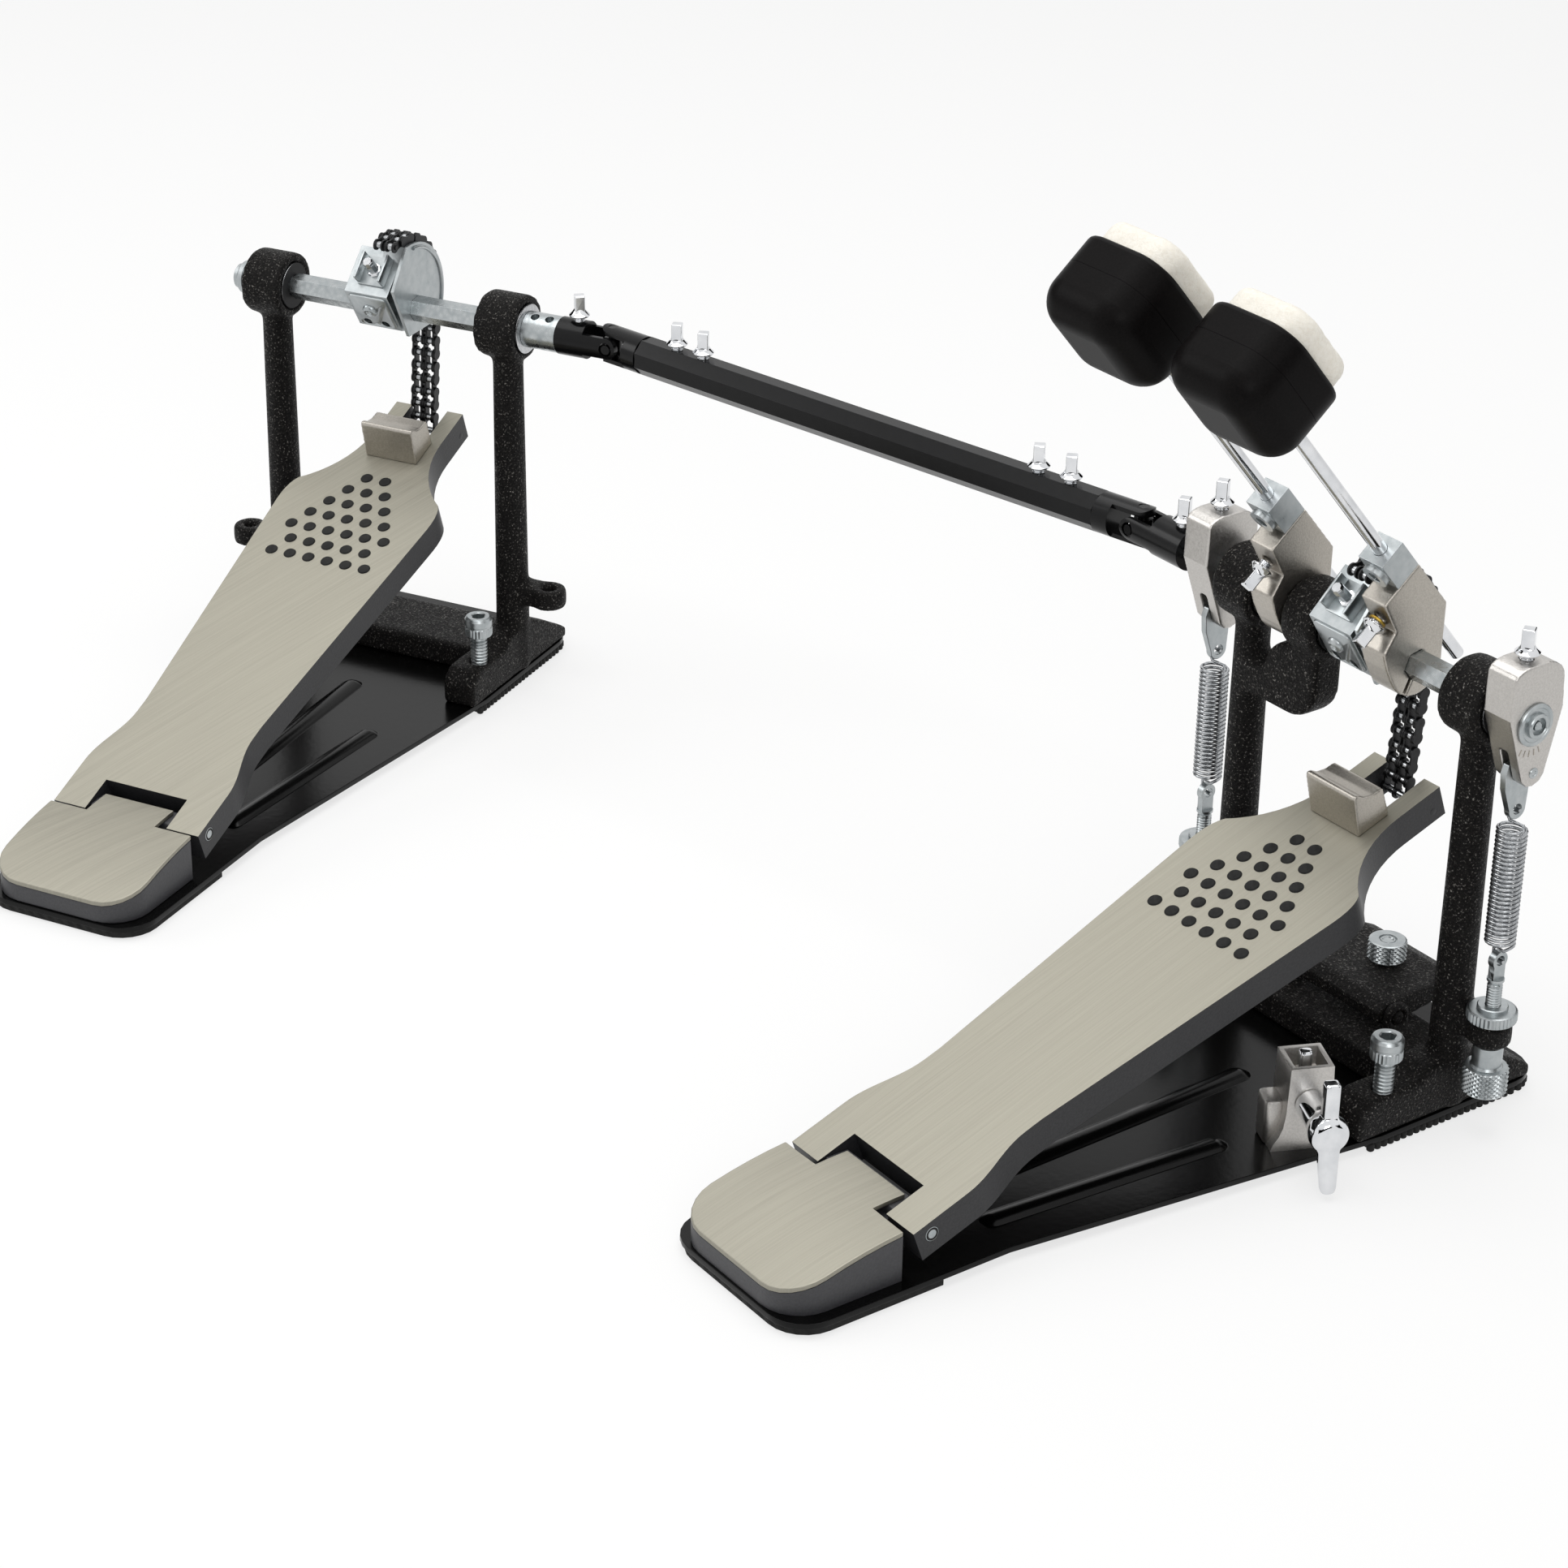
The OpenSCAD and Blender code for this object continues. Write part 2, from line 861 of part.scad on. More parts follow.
module right_chain_run() { chain_run(); }
module left_chain_run() { second() chain_run(); }

// The two links that pass from the sprocket to the run during a stroke
module chain_link_1() { color(black) inner_link(run_links); }
module right_chain_link_1() { chain_link_1(); }
module left_chain_link_1() { second() chain_link_1(); }

module chain_link_2() {
    color(black) {
        outer_link(run_links + 1);
        tie = (chain_pin(run_links + 1) + chain_pin(run_links + 2)) / 2;
        translate([chain_x - outer_x, tie[0], tie[1]])
            rotate([0, 90, 0])
                cylinder(d = 0.8, h = 2 * outer_x);
    }
}

module right_chain_link_2() { chain_link_2(); }
module left_chain_link_2() { second() chain_link_2(); }

wrap_from = run_links + 2;
wrap_to = wrap_from + wrap_links;

module chain_wrap() {
    color(black) {
        for (k = [wrap_from:2:wrap_to - 1])
            inner_link(k);
        for (k = [wrap_from + 1:2:wrap_to - 1])
            outer_link(k);
        for (k = [wrap_from + 1:wrap_to])
            link_bar(k, -outer_x, outer_x, 2.2);
    }
}

module right_chain_wrap() { chain_wrap(); }
module left_chain_wrap() { second() chain_wrap(); }

// Sprockets

drum_r = sprocket_r - link_h / 2 - 0.9;
cheek_x = chain_x + chain_w / 2 + gap + cheek_t / 2;
bracket_w = 23;
bracket_x = -10;
nose = [[-18.5, 10], [-1.5, 27], [3, 22], [1, 12], [11, 1], [17, -12], [13, -16], [-5.5, -10.5]];
nose_screw = (nose[0] + nose[1]) / 2 + 0.1 * [-1, 1];

// Puts a screw square on the sloping face of the bracket
module at_nose() {
    translate([bracket_x + 1, axle_y + nose_screw[0], axle_z + nose_screw[1]])
        rotate([45, 0, 0])
            children();
}

module sprocket_body() {
    color(plated)
        difference() {
            union() {
                axle_slice(chain_x + gap, chain_w)
                    intersection() {
                        translate(sprocket_c)
                            circle(r = drum_r);
                        polygon([[-1, 40], [40, 40], [40, -9], [4, -9], [-9, 8]]);
                    }
                axle_slice(cheek_x, cheek_t + gap)
                    intersection() {
                        translate(flange_c)
                            circle(r = flange_r);
                        polygon([[-20, 14], [3, 45], [40, 45], [40, -9], [14, -12], [-7, -12]]);
                    }
                axle_slice(bracket_x, bracket_w)
                    polygon(nose);
            }
            axle_hex(-50, 50, run);
            at_nose()
                key_hole();
        }
}

module right_sprocket() { sprocket_body(); }
module left_sprocket() { second() sprocket_body(); }

// Axles

axle_end = cam_right + cam_w / 2;
hex_right = post_right - housing_l / 2 - 1;
sleeve_d = 17;
sleeve_from = post_right + housing_l / 2 + 1;
sleeve_to = left_joint - fork_l - axle_hub - gap;

module right_axle() {
    color(plated) {
        axle_rod(inner_x + shaft_gap / 2, axle_end + weld, journal_d);
        axle_hex(inner_x + inner_l / 2 + 1, hex_right);
        axle_rod(axle_end + 0.02, axle_end + 3, 14);
    }
}

module left_axle() {
    color(plated)
        second() {
            left_end = post_left - housing_l / 2;
            axle_rod(left_end - 6, left_joint - fork_l - 3 - gap, journal_d);
            axle_rod(left_end - 3.5, left_end - 1, 16);
            axle_hex(post_left + housing_l / 2 + 1, hex_right);
            axle_rod(sleeve_from, sleeve_to, sleeve_d);
        }
}

module slave_shaft() {
    color(plated) {
        axle_rod(-right_joint + fork_l + 3 + gap, inner_x - shaft_gap / 2, journal_d);
        axle_hex(left_hub - hub_w / 2 - 1, left_hub + hub_w / 2 + 1);
    }
}

// Beaters

clamp_r = 13;
hub_shape = [[-8, -10.5], [-12, -3], [-12.6, 4], [-11, 11], [-8.4, 18], [1, 21], [3.5, 35],
    [24.5, 35], [24.5, 9], [10, -8]];
clamp_screw = [0.7, 26];
slit_w = 1.6;

module hub(x) {
    color(zinc)
        difference() {
            beater_slice(x, hub_w)
                union() {
                    circle(r = clamp_r);
                    polygon(hub_shape);
                }
            axle_hex(x - hub_w, x + hub_w, run);
            in_beater(x)
                translate([0, rod_offset, -rod_tail])
                    cylinder(d = rod_d + 2 * run, h = rod_tail + right_reach);
            in_beater(x)
                rotate([25, 0, 0])
                    translate([-hub_w, -30, -slit_w / 2])
                        cube([2 * hub_w, 30, slit_w]);
            in_beater(x)
                translate([0, clamp_screw[0], clamp_screw[1]])
                    rotate([90, 0, 0])
                        key_hole(shank = 6);
        }
}

module right_beater_hub() { hub(right_hub); }
module left_beater_hub() { hub(left_hub); }

module rod_holder(x) {
    color(plated)
        difference() {
            union() {
                in_beater(x)
                    translate([-hub_w / 2, rod_offset - holder_t / 2, holder_base])
                        cube([hub_w, holder_t, holder_top - holder_base]);
                in_beater(x)
                    translate([0, rod_offset - holder_t / 2 + weld, (holder_base + holder_top) / 2])
                        rotate([90, 0, 0])
                            cylinder(d = 11, h = 2.4 + weld);
            }
            in_beater(x)
                translate([0, rod_offset, 0])
                    cylinder(d = rod_d + 2 * run, h = rod_tail + right_reach);
            in_beater(x)
                translate([0, rod_offset - holder_t / 2 - 0.5, (holder_base + holder_top) / 2])
                    rotate([90, 0, 0])
                        cylinder(d = 5 / cos(30), h = 5, $fn = 6);
        }
}

module right_rod_holder() { rod_holder(right_hub); }
module left_rod_holder() { rod_holder(left_hub); }

module rod(x, reach) {
    color(chrome)
        in_beater(x)
            translate([0, rod_offset, -rod_tail + reach - right_reach])
                cylinder(d = rod_d, h = right_reach + rod_tail + head_w / 4);
}

module right_beater_rod() { rod(right_hub, right_reach); }
module left_beater_rod() { rod(left_hub, left_reach); }

head_r = 13.5;

// A square with round corners, drawn with true arcs
module round_square(w, r) {
    for (x = [-1, 1], y = [-1, 1])
        translate([x * (w / 2 - r), y * (w / 2 - r)])
            circle(r = r);
    square([w, w - 2 * r], center = true);
    square([w - 2 * r, w], center = true);
}

// The head stands across the rod: its felt faces the drum
module head_part(x, reach) {
    in_beater(x)
        translate([0, rod_offset, reach])
            rotate([-90, 0, 0])
                children();
}

shell_back = rod_offset + 2.8;
shell_steps = [[0, 5], [2.5, 2], [6, 0]];
felt_in = 2.5;

module rod_bore(x) {
    in_beater(x)
        translate([0, rod_offset, 0])
            cylinder(d = rod_d + 2 * run, h = right_reach + left_reach);
}

module shell(x, reach) {
    rod_end = reach + head_w / 4;
    color(plastic)
        difference() {
            head_part(x, reach)
                for (step = shell_steps)
                    translate([0, 0, step[0] - shell_back])
                        linear_extrude(shell_t - step[0])
                            round_square(head_w - 2 * step[1], head_r - step[1]);
            intersection() {
                rod_bore(x);
                in_beater(x)
                    translate([-head_w, -head_w, 0])
                        cube([2 * head_w, 3 * head_w, rod_end + gap]);
            }
        }
}

module right_beater_shell() { shell(right_hub, right_reach); }
module left_beater_shell() { shell(left_hub, left_reach); }

module felt_pad(x, reach) {
    color(felt)
        head_part(x, reach)
            translate([0, 0, shell_t - shell_back]) {
                linear_extrude(felt_t * 2 / 3)
                    round_square(head_w - 2 * felt_in, head_r - felt_in);
                linear_extrude(felt_t)
                    round_square(head_w - 4 * felt_in, head_r - 2 * felt_in);
            }
}

module right_beater_felt() { felt_pad(right_hub, right_reach); }
module left_beater_felt() { felt_pad(left_hub, left_reach); }

// Spring cams and their links

cam_shape = [[-12, 20.5], [-11, 22], [-8.5, 23.3], [-5.4, 24], [5.4, 24], [9, 22.8], [11.8, 20.8],
    [13.4, 18], [14.5, 4], [8, -22.5], [6, -25.2], [2.5, -26.5], [-0.5, -26], [-3, -23.5], [-12.5, 4]];
slot_top = cam_pin[1] + 9;

module cam(x) {
    color(zinc) {
        difference() {
            axle_slice(x, cam_w)
                polygon(cam_shape);
            axle_rod(x - cam_w, x + cam_w, journal_d + 2 * run);
            translate([x - cam_slot / 2, axle_y - 40, axle_z - 60])
                cube([cam_slot, 80, 60 + slot_top]);
            translate([x, axle_y, axle_z + 24])
                key_hole();
        }
        translate([x - cam_w / 2, axle_y + cam_pin[0], link_z])
            rotate([0, 90, 0])
                cylinder(d = cam_pin_d, h = cam_w);
    }
}

module right_cam() { cam(cam_right); }
module left_cam() { cam(cam_left); }

link_w = 8.4;

module link(x) {
    color(plated)
        translate([0, lug_y, 0])
            slice(x, link_t)
                difference() {
                    union() {
                        translate([0, link_z])
                            circle(d = link_w);
                        translate([0, hook_z])
                            circle(d = link_w);
                        translate([0, link_z])
                            polygon([[-7, 2.6], [-8.2, -1], [-7.6, -8], [-link_w / 2, -link_l],
                                [link_w / 2, -link_l], [link_w / 2 + 0.8, -6], [link_w / 2, 0], [0, link_w / 2]]);
                    }
                    translate([0, link_z])
                        circle(d = cam_pin_d + 2 * run);
                    translate([0, hook_z])
                        circle(d = hook_hole_d);
                }
}

module right_link() { link(cam_right); }
module left_link() { link(cam_left); }

// Springs: one wire with a hook at each end, swept along its points

hook_out = link_t / 2 + wire_d / 2 + 0.35;

// Points of the wire about the spring's own axis, from the lower hook to the upper one
coil_points = [for (i = [0:8 * spring_turns]) [coil_r * cos(45 * i), coil_r * sin(45 * i),
    coil_bottom + spring_pitch * i / 8]];
lower_hook = [[hook_out + 0.2, 0, eye_z], [-hook_out + 0.6, 0, eye_z], [-hook_out, 0, eye_z + 0.7],
    [-hook_out, 0, eye_z + 4.1], [-hook_out + 0.9, 0, coil_bottom - 2.1], [coil_r - 1.6, -1.6, coil_bottom - 1.5]];
upper_hook = [[coil_r - 1.6, 1.6, coil_top + 1.5], [-hook_out + 0.9, 0, coil_top + 2.1],
    [-hook_out, 0, hook_z - 4.6], [-hook_out, 0, hook_z - 0.7], [-hook_out + 0.6, 0, hook_z],
    [hook_out + 0.2, 0, hook_z]];
wire_points = concat(lower_hook, coil_points, upper_hook);

function unit(v) = v / norm(v);
function along(p, i) = unit(p[min(i + 1, len(p) - 1)] - p[max(i - 1, 0)]);

// Directions square to the wire at each point, turned as little as possible from one to the next
function frames(p, i = 0, u = undef) =
    i >= len(p) ? []
        : let (t = along(p, i),
            seed = is_undef(u) ? [0, 1, 0.01] : u,
            n = unit(seed - (seed * t) * t))
            concat([[n, cross(t, n)]], frames(p, i + 1, n));

module wire(p) {
    sides = 6;
    f = frames(p);
    ring = [for (i = [0:len(p) - 1], s = [0:sides - 1])
        p[i] + wire_d / 2 * (cos(60 * s) * f[i][0] + sin(60 * s) * f[i][1])];
    last = (len(p) - 1) * sides;
    walls = [for (i = [0:len(p) - 2], s = [0:sides - 1], half = [0, 1])
        let (a = i * sides + s, b = i * sides + (s + 1) % sides)
        half == 0 ? [a, a + sides, b] : [b, a + sides, b + sides]];
    ends = [for (s = [1:sides - 2], end = [0, 1])
        end == 0 ? [0, s, s + 1] : [last, last + s + 1, last + s]];
    polyhedron(points = ring, faces = concat(walls, ends), convexity = 10);
}

// Least gap of the wire to itself, from points more than half a curl apart
wire_gap = min([for (i = [0:4:len(wire_points) - 1], j = [i + 5:1:min(i + 24, len(wire_points) - 1)])
    norm(wire_points[i] - wire_points[j])]) - wire_d;
echo(str("least gap of the spring wire to itself: ", wire_gap, " mm"));

module spring(x) {
    color(plated)
        translate([x, lug_y, 0])
            wire(wire_points);
}

module right_spring() { spring(cam_right); }
module left_spring() { spring(cam_left); }

// Eye bolts and knurled nuts that set the springs' pull

eye_t = 3;
eye_w = 7.4;
upper_nut_d = 19.6;
upper_nut_h = 6.8;
lower_nut_d = 18;
lower_nut_h = 11;
sleeve_nut_d = 11.8;
lower_nut_z = lug_z - lug_t - gap - 10 - lower_nut_h;

module eye_bolt(x) {
    neck = eye_z - 9;
    translate([x, lug_y, lower_nut_z + 1])
        cylinder(d = bolt_d, h = neck - lower_nut_z - 1);
    translate([0, lug_y, 0])
        slice(x, eye_t)
            difference() {
                union() {
                    translate([0, eye_z])
                        circle(d = eye_w);
                    translate([-eye_w / 2 + 0.8, neck - weld])
                        square([eye_w - 1.6, eye_z - neck + weld]);
                }
                translate([0, eye_z])
                    circle(d = hook_hole_d);
            }
}

module spring_eye_bolts() {
    color(plated) {
        eye_bolt(cam_right);
        eye_bolt(cam_left);
    }
}

module spring_nut_pair(x) {
    difference() {
        union() {
            translate([x, lug_y, lug_z])
                cylinder(d = upper_nut_d, h = upper_nut_h);
            translate([x, lug_y, lower_nut_z])
                cylinder(d = lower_nut_d, h = lower_nut_h);
            translate([x, lug_y, lower_nut_z + lower_nut_h - weld])
                cylinder(d = sleeve_nut_d, h = lug_z - lug_t - lower_nut_z - lower_nut_h + weld);
        }
        translate([x, lug_y, 0])
            cylinder(d = bolt_d + 2 * run, h = axle_z);
    }
}

module spring_nuts() {
    color(plated) {
        spring_nut_pair(cam_right);
        spring_nut_pair(cam_left);
    }
}

// Universal joints and the drive shaft

// A fork on a hub of length l behind it, towards -X from the joint's centre; its pin is along Y
module fork(bore, l) {
    arm_y = [yoke_d / 2 - fork_t, yoke_d / 2 + 1];
    difference() {
        intersection() {
            union() {
                for (side = [0, 1])
                    mirror([0, side, 0])
                        translate([0, arm_y[1], 0])
                            rotate([90, 0, 0])
                                linear_extrude(arm_y[1] - arm_y[0]) {
                                    circle(d = fork_w);
                                    translate([-fork_l - 1, -fork_w / 2])
                                        square([fork_l + 1, fork_w]);
                                }
                translate([-fork_l - l, 0, 0])
                    rotate([0, 90, 0])
                        cylinder(d = yoke_d + 4, h = l);
            }
            rotate([0, 90, 0])
                cylinder(d = yoke_d, h = 10 * fork_l, center = true);
        }
        rotate([90, 0, 0])
            cylinder(d = bore, h = 2 * yoke_d, center = true);
    }
}

// The blind hole that takes an axle's end, with its screw hole at distance s from the joint
module shaft_socket(l, s) {
    translate([-fork_l - l - 1, 0, 0])
        rotate([0, 90, 0])
            cylinder(d = journal_d + 2 * run, h = l - 2);
    translate([-s, 0, yoke_d / 2])
        key_hole(shank = 3);
}

axle_screw_s = fork_l + 5;
slave_screw_s = fork_l + 12;

module left_yoke() {
    color(black)
        second()
            translate([left_joint, axle_y, axle_z])
                difference() {
                    fork(open_bore, axle_hub);
                    shaft_socket(axle_hub, axle_screw_s);
                }
}

module slave_yoke() {
    color(black)
        translate(joint_r)
            rotate([0, 0, 180])
                difference() {
                    fork(open_bore, slave_hub);
                    shaft_socket(slave_hub, slave_screw_s);
                }
}

// Draws along the drive shaft, X from the left joint to the right one
module on_drive() {
    translate(joint_l)
        rotate([0, 0, drive_turn])
            children();
}

stub_l = 30;
stub_d = tube_bore - 2 * run;

module drive_yoke() {
    rotate([0, 0, 180])
        rotate([90, 0, 0])
            fork(cross_d + 2 * run, drive_hub);
}

// A fork at the joint with the stub that goes into the drive tube
module drive_end() {
    drive_yoke();
    translate([fork_l + drive_hub - weld, 0, 0])
        rotate([0, 90, 0])
            cylinder(d = stub_d, h = stub_l + weld);
}

module drive_yokes() {
    color(black)
        on_drive() {
            drive_end();
            translate([drive_l, 0, 0])
                rotate([0, 0, 180])
                    drive_end();
        }
}

tube_clear = fork_l + drive_hub + gap;
tube_ends = [tube_clear, drive_l - tube_clear];
drive_screw_s = [tube_ends[0] + 19, tube_ends[0] + 35, tube_ends[1] - 34, tube_ends[1] - 17];

module drive_tube() {
    color(black)
        on_drive()
            difference() {
                translate([tube_ends[0], 0, 0])
                    rotate([0, 90, 0])
                        rotate([0, 0, 22.5])
                            cylinder(d = tube_af / cos(22.5), h = tube_ends[1] - tube_ends[0], $fn = 8);
                rotate([0, 90, 0])
                    cylinder(d = tube_bore, h = drive_l);
                for (s = drive_screw_s)
                    translate([s, 0, tube_af / 2])
                        key_hole(shank = 2.2);
            }
}

module drive_screws() {
    color(chrome)
        on_drive()
            for (s = drive_screw_s)
                translate([s, 0, tube_af / 2])
                    key_screw(shank = 2.2);
}

// A cross: an upright pin in the drive shaft's fork and a level pin in the axle's fork
module joint_cross(turn) {
    cylinder(d = cross_d, h = cross_l, center = true);
    rotate([0, 0, turn])
        rotate([90, 0, 0])
            cylinder(d = cross_d, h = cross_l, center = true);
    cylinder(d = 8, h = 7, center = true);
}

module joint_crosses() {
    color(plated) {
        translate(joint_l)
            joint_cross(left_turn);
        translate(joint_r)
            joint_cross(0);
    }
}

// Drum-key screws of the axles

module hub_screw(x) {
    in_beater(x)
        translate([0, clamp_screw[0], clamp_screw[1]])
            rotate([90, 0, 0])
                key_screw(shank = 6);
}

module cam_screw(x) {
    translate([x, axle_y, axle_z + 24])
        key_screw();
}

module sprocket_screw() {
    at_nose()
        key_screw(head = 8);
}

module yoke_screw() {
    translate([0, 0, yoke_d / 2])
        key_screw(shank = 3);
}

module right_axle_screws() {
    color(chrome) {
        hub_screw(right_hub);
        cam_screw(cam_right);
        sprocket_screw();
    }
}

module left_axle_screws() {
    color(chrome)
        second() {
            sprocket_screw();
            translate([left_joint - axle_screw_s, axle_y, axle_z])
                yoke_screw();
        }
}

module slave_shaft_screws() {
    color(chrome) {
        hub_screw(left_hub);
        cam_screw(cam_left);
        translate([-right_joint + slave_screw_s, axle_y, axle_z])
            yoke_screw();
    }
}

// Hoop clamp of the main pedal

lip_z = 20.5;

module hoop_jaw() {
    color(black)
        difference() {
            union() {
                slice((jaw_x[0] + jaw_x[1]) / 2, jaw_x[1] - jaw_x[0])
                    polygon([[jaw_pivot[0] - 7, jaw_pivot[1] - 3], [jaw_pivot[0] + 8, jaw_pivot[1] - 4],
                        [jaw_front - 20, jaw_pivot[1] - 2], [jaw_front - 14, lip_z], [jaw_front, lip_z],
                        [jaw_front, jaw_top - 4], [jaw_front - 8, jaw_top], [jaw_pivot[0] - 2, jaw_top],
                        [jaw_pivot[0] - 7, jaw_top - 3]]);
                translate([jaw_x[0] - gap - ear_w, jaw_pivot[0], jaw_pivot[1]])
                    rotate([0, 90, 0])
                        cylinder(d = jaw_pin_d, h = jaw_x[1] - jaw_x[0] + 2 * (gap + ear_w));
            }
            translate([knob_x, knob_y, 0])
                cylinder(d = bolt_d + 2 * run, h = 100);
        }
}

knob_d = 16;
knob_h = 9;

module clamp_knob() {
    color(plated)
        translate([knob_x, knob_y, jaw_top + gap]) {
            cylinder(d = knob_d, h = knob_h);
            translate([0, 0, -9])
                cylinder(d = bolt_d, h = 9 + weld);
        }
}

block_l = 18;
block_w = 17;
block_h = 36;
wing_bolt_d = 6;

module at_block() {
    translate([block_at[0], block_at[1], 0])
        rotate([0, 0, block_turn])
            children();
}

module clamp_block() {
    color(zinc)
        at_block()
            difference() {
                rotate([90, 0, 90])
                    translate([0, 0, -block_w / 2])
                        linear_extrude(block_w)
                            polygon([[-block_l / 2 - 3, floor_z], [block_l / 2 + 3, floor_z],
                                [block_l / 2 - 3, floor_z + block_h - 4], [block_l / 2 - 6, floor_z + block_h],
                                [-block_l / 2 + 6, floor_z + block_h], [-block_l / 2 + 3, floor_z + block_h - 4]]);
                translate([-block_w, 0, bolt_z])
                    rotate([0, 90, 0])
                        cylinder(d = wing_bolt_d + 2 * run, h = 2 * block_w);
                translate([-block_w, -4, floor_z + block_h - 7])
                    cube([2 * block_w, 8, 10]);
            }
}

wing_l = 22;

module wing_bolt() {
    color(chrome)
        at_block()
            translate([0, 0, bolt_z]) {
                translate([-block_w / 2 - 4, 0, 0])
                    rotate([0, 90, 0])
                        cylinder(d = wing_bolt_d, h = block_w / 2 + 4 + bolt_out - 6);
                translate([block_w / 2 + 4, 0, 0])
                    rotate([0, 90, 0])
                        cylinder(d1 = 10, d2 = 15, h = bolt_out - block_w / 2 - 4);
                for (side = [-1, 1])
                    translate([bolt_out - 8, -2.6, side > 0 ? 4 : -wing_l])
                        cube([6.4, 5.2, wing_l - 4]);
            }
}

right_base_plate();
left_base_plate();
base_pads();
right_frame();
left_frame();
axle_bearings();
right_heel_block();
left_heel_block();
heel_plates();
hinge_pins();
spur_screws();
right_footboard();
left_footboard();
right_toe_stop();
left_toe_stop();
right_chain_run();
left_chain_run();
right_chain_link_1();
left_chain_link_1();
right_chain_link_2();
left_chain_link_2();
right_chain_wrap();
left_chain_wrap();
right_sprocket();
left_sprocket();
right_axle();
left_axle();
slave_shaft();
right_axle_screws();
left_axle_screws();
slave_shaft_screws();
right_beater_hub();
left_beater_hub();
right_rod_holder();
left_rod_holder();
right_beater_rod();
left_beater_rod();
right_beater_shell();
left_beater_shell();
right_beater_felt();
left_beater_felt();
right_cam();
left_cam();
right_link();
left_link();
right_spring();
left_spring();
spring_eye_bolts();
spring_nuts();
left_yoke();
slave_yoke();
drive_tube();
drive_yokes();
joint_crosses();
drive_screws();
hoop_jaw();
clamp_knob();
clamp_block();
wing_bolt();
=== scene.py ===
import math

import bpy
from mathutils import Matrix, Vector


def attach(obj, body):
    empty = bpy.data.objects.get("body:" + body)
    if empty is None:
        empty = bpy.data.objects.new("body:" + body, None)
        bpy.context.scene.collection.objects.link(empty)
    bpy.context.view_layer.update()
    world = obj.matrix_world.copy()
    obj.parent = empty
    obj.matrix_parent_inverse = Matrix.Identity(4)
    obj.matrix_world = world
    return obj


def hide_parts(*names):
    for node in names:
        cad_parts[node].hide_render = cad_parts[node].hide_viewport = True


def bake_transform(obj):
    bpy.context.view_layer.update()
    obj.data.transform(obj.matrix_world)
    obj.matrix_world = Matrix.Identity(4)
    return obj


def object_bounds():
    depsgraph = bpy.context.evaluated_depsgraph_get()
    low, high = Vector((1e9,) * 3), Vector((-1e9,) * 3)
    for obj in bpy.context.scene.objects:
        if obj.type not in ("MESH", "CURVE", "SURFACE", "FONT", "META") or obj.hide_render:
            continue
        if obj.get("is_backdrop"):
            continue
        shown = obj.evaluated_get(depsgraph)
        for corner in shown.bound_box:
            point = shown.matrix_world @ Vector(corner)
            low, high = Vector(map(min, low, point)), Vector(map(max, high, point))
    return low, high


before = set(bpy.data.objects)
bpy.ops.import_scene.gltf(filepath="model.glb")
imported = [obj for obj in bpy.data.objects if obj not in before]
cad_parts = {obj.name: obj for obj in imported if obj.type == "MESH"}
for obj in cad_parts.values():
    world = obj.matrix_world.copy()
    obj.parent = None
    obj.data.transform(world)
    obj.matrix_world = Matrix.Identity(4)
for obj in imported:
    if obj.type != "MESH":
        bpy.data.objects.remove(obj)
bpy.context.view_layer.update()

# Floor, light and camera. A pale seamless sheet under one large softbox overhead and two
# smaller ones at the sides. The camera stands in front of the main pedal's right side, about
# 1.4 m away and 27 degrees up, with a long lens.

FLOOR_PALE = "#F4F4F3"
STUDIO_WHITE = "#FFFFFF"
CARD_BLACK = "#050505"
FLOOR_GLOW = 0.72
LAMPS_AIM = Vector((-0.2, 0.1, 0.1))
CARDS_AIM = Vector((-0.2, 0.1, 0.2))
CAMERA_DOWN, CAMERA_TURN = 26.65, 55.98


def colour(code):
    """Linear RGBA of an sRGB hex code."""
    parts = [int(code[i:i + 2], 16) / 255 for i in (1, 3, 5)]
    return [p / 12.92 if p <= 0.04045 else ((p + 0.055) / 1.055) ** 2.4 for p in parts] + [1]


def add(tree, kind, inputs=None, **settings):
    """Adds a node with its settings; an input is a value, or a node and the output that feeds it."""
    node = tree.nodes.new(kind)
    for name, value in settings.items():
        setattr(node, name, value)
    for name, value in (inputs or {}).items():
        if isinstance(value, tuple) and isinstance(value[0], bpy.types.Node):
            tree.links.new(value[0].outputs[value[1]], node.inputs[name])
        else:
            node.inputs[name].default_value = value
    return node


def seen_rays(tree):
    """One for the rays that show the background: straight, in a reflection or through glass."""
    rays = add(tree, "ShaderNodeLightPath")
    seen = add(tree, "ShaderNodeMath", {0: (rays, "Is Camera Ray"), 1: (rays, "Is Glossy Ray")},
               operation="MAXIMUM")
    return add(tree, "ShaderNodeMath", {0: (seen, 0), 1: (rays, "Is Transmission Ray")}, operation="MAXIMUM")


scene = bpy.context.scene
scene.view_settings.view_transform = "Standard"

camera_data = bpy.data.cameras.new("camera")
camera_data.lens = 89.37
camera_data.sensor_width = 36
camera_data.shift_x = 0.0774
camera_data.shift_y = -0.0288
camera_data.clip_start, camera_data.clip_end = 0.05, 30
camera = bpy.data.objects.new("camera", camera_data)
camera.location = (0.9620, -0.7420, 0.8161)
camera.rotation_euler = (math.radians(90 - CAMERA_DOWN), 0, math.radians(CAMERA_TURN))
scene.collection.objects.link(camera)
scene.camera = camera

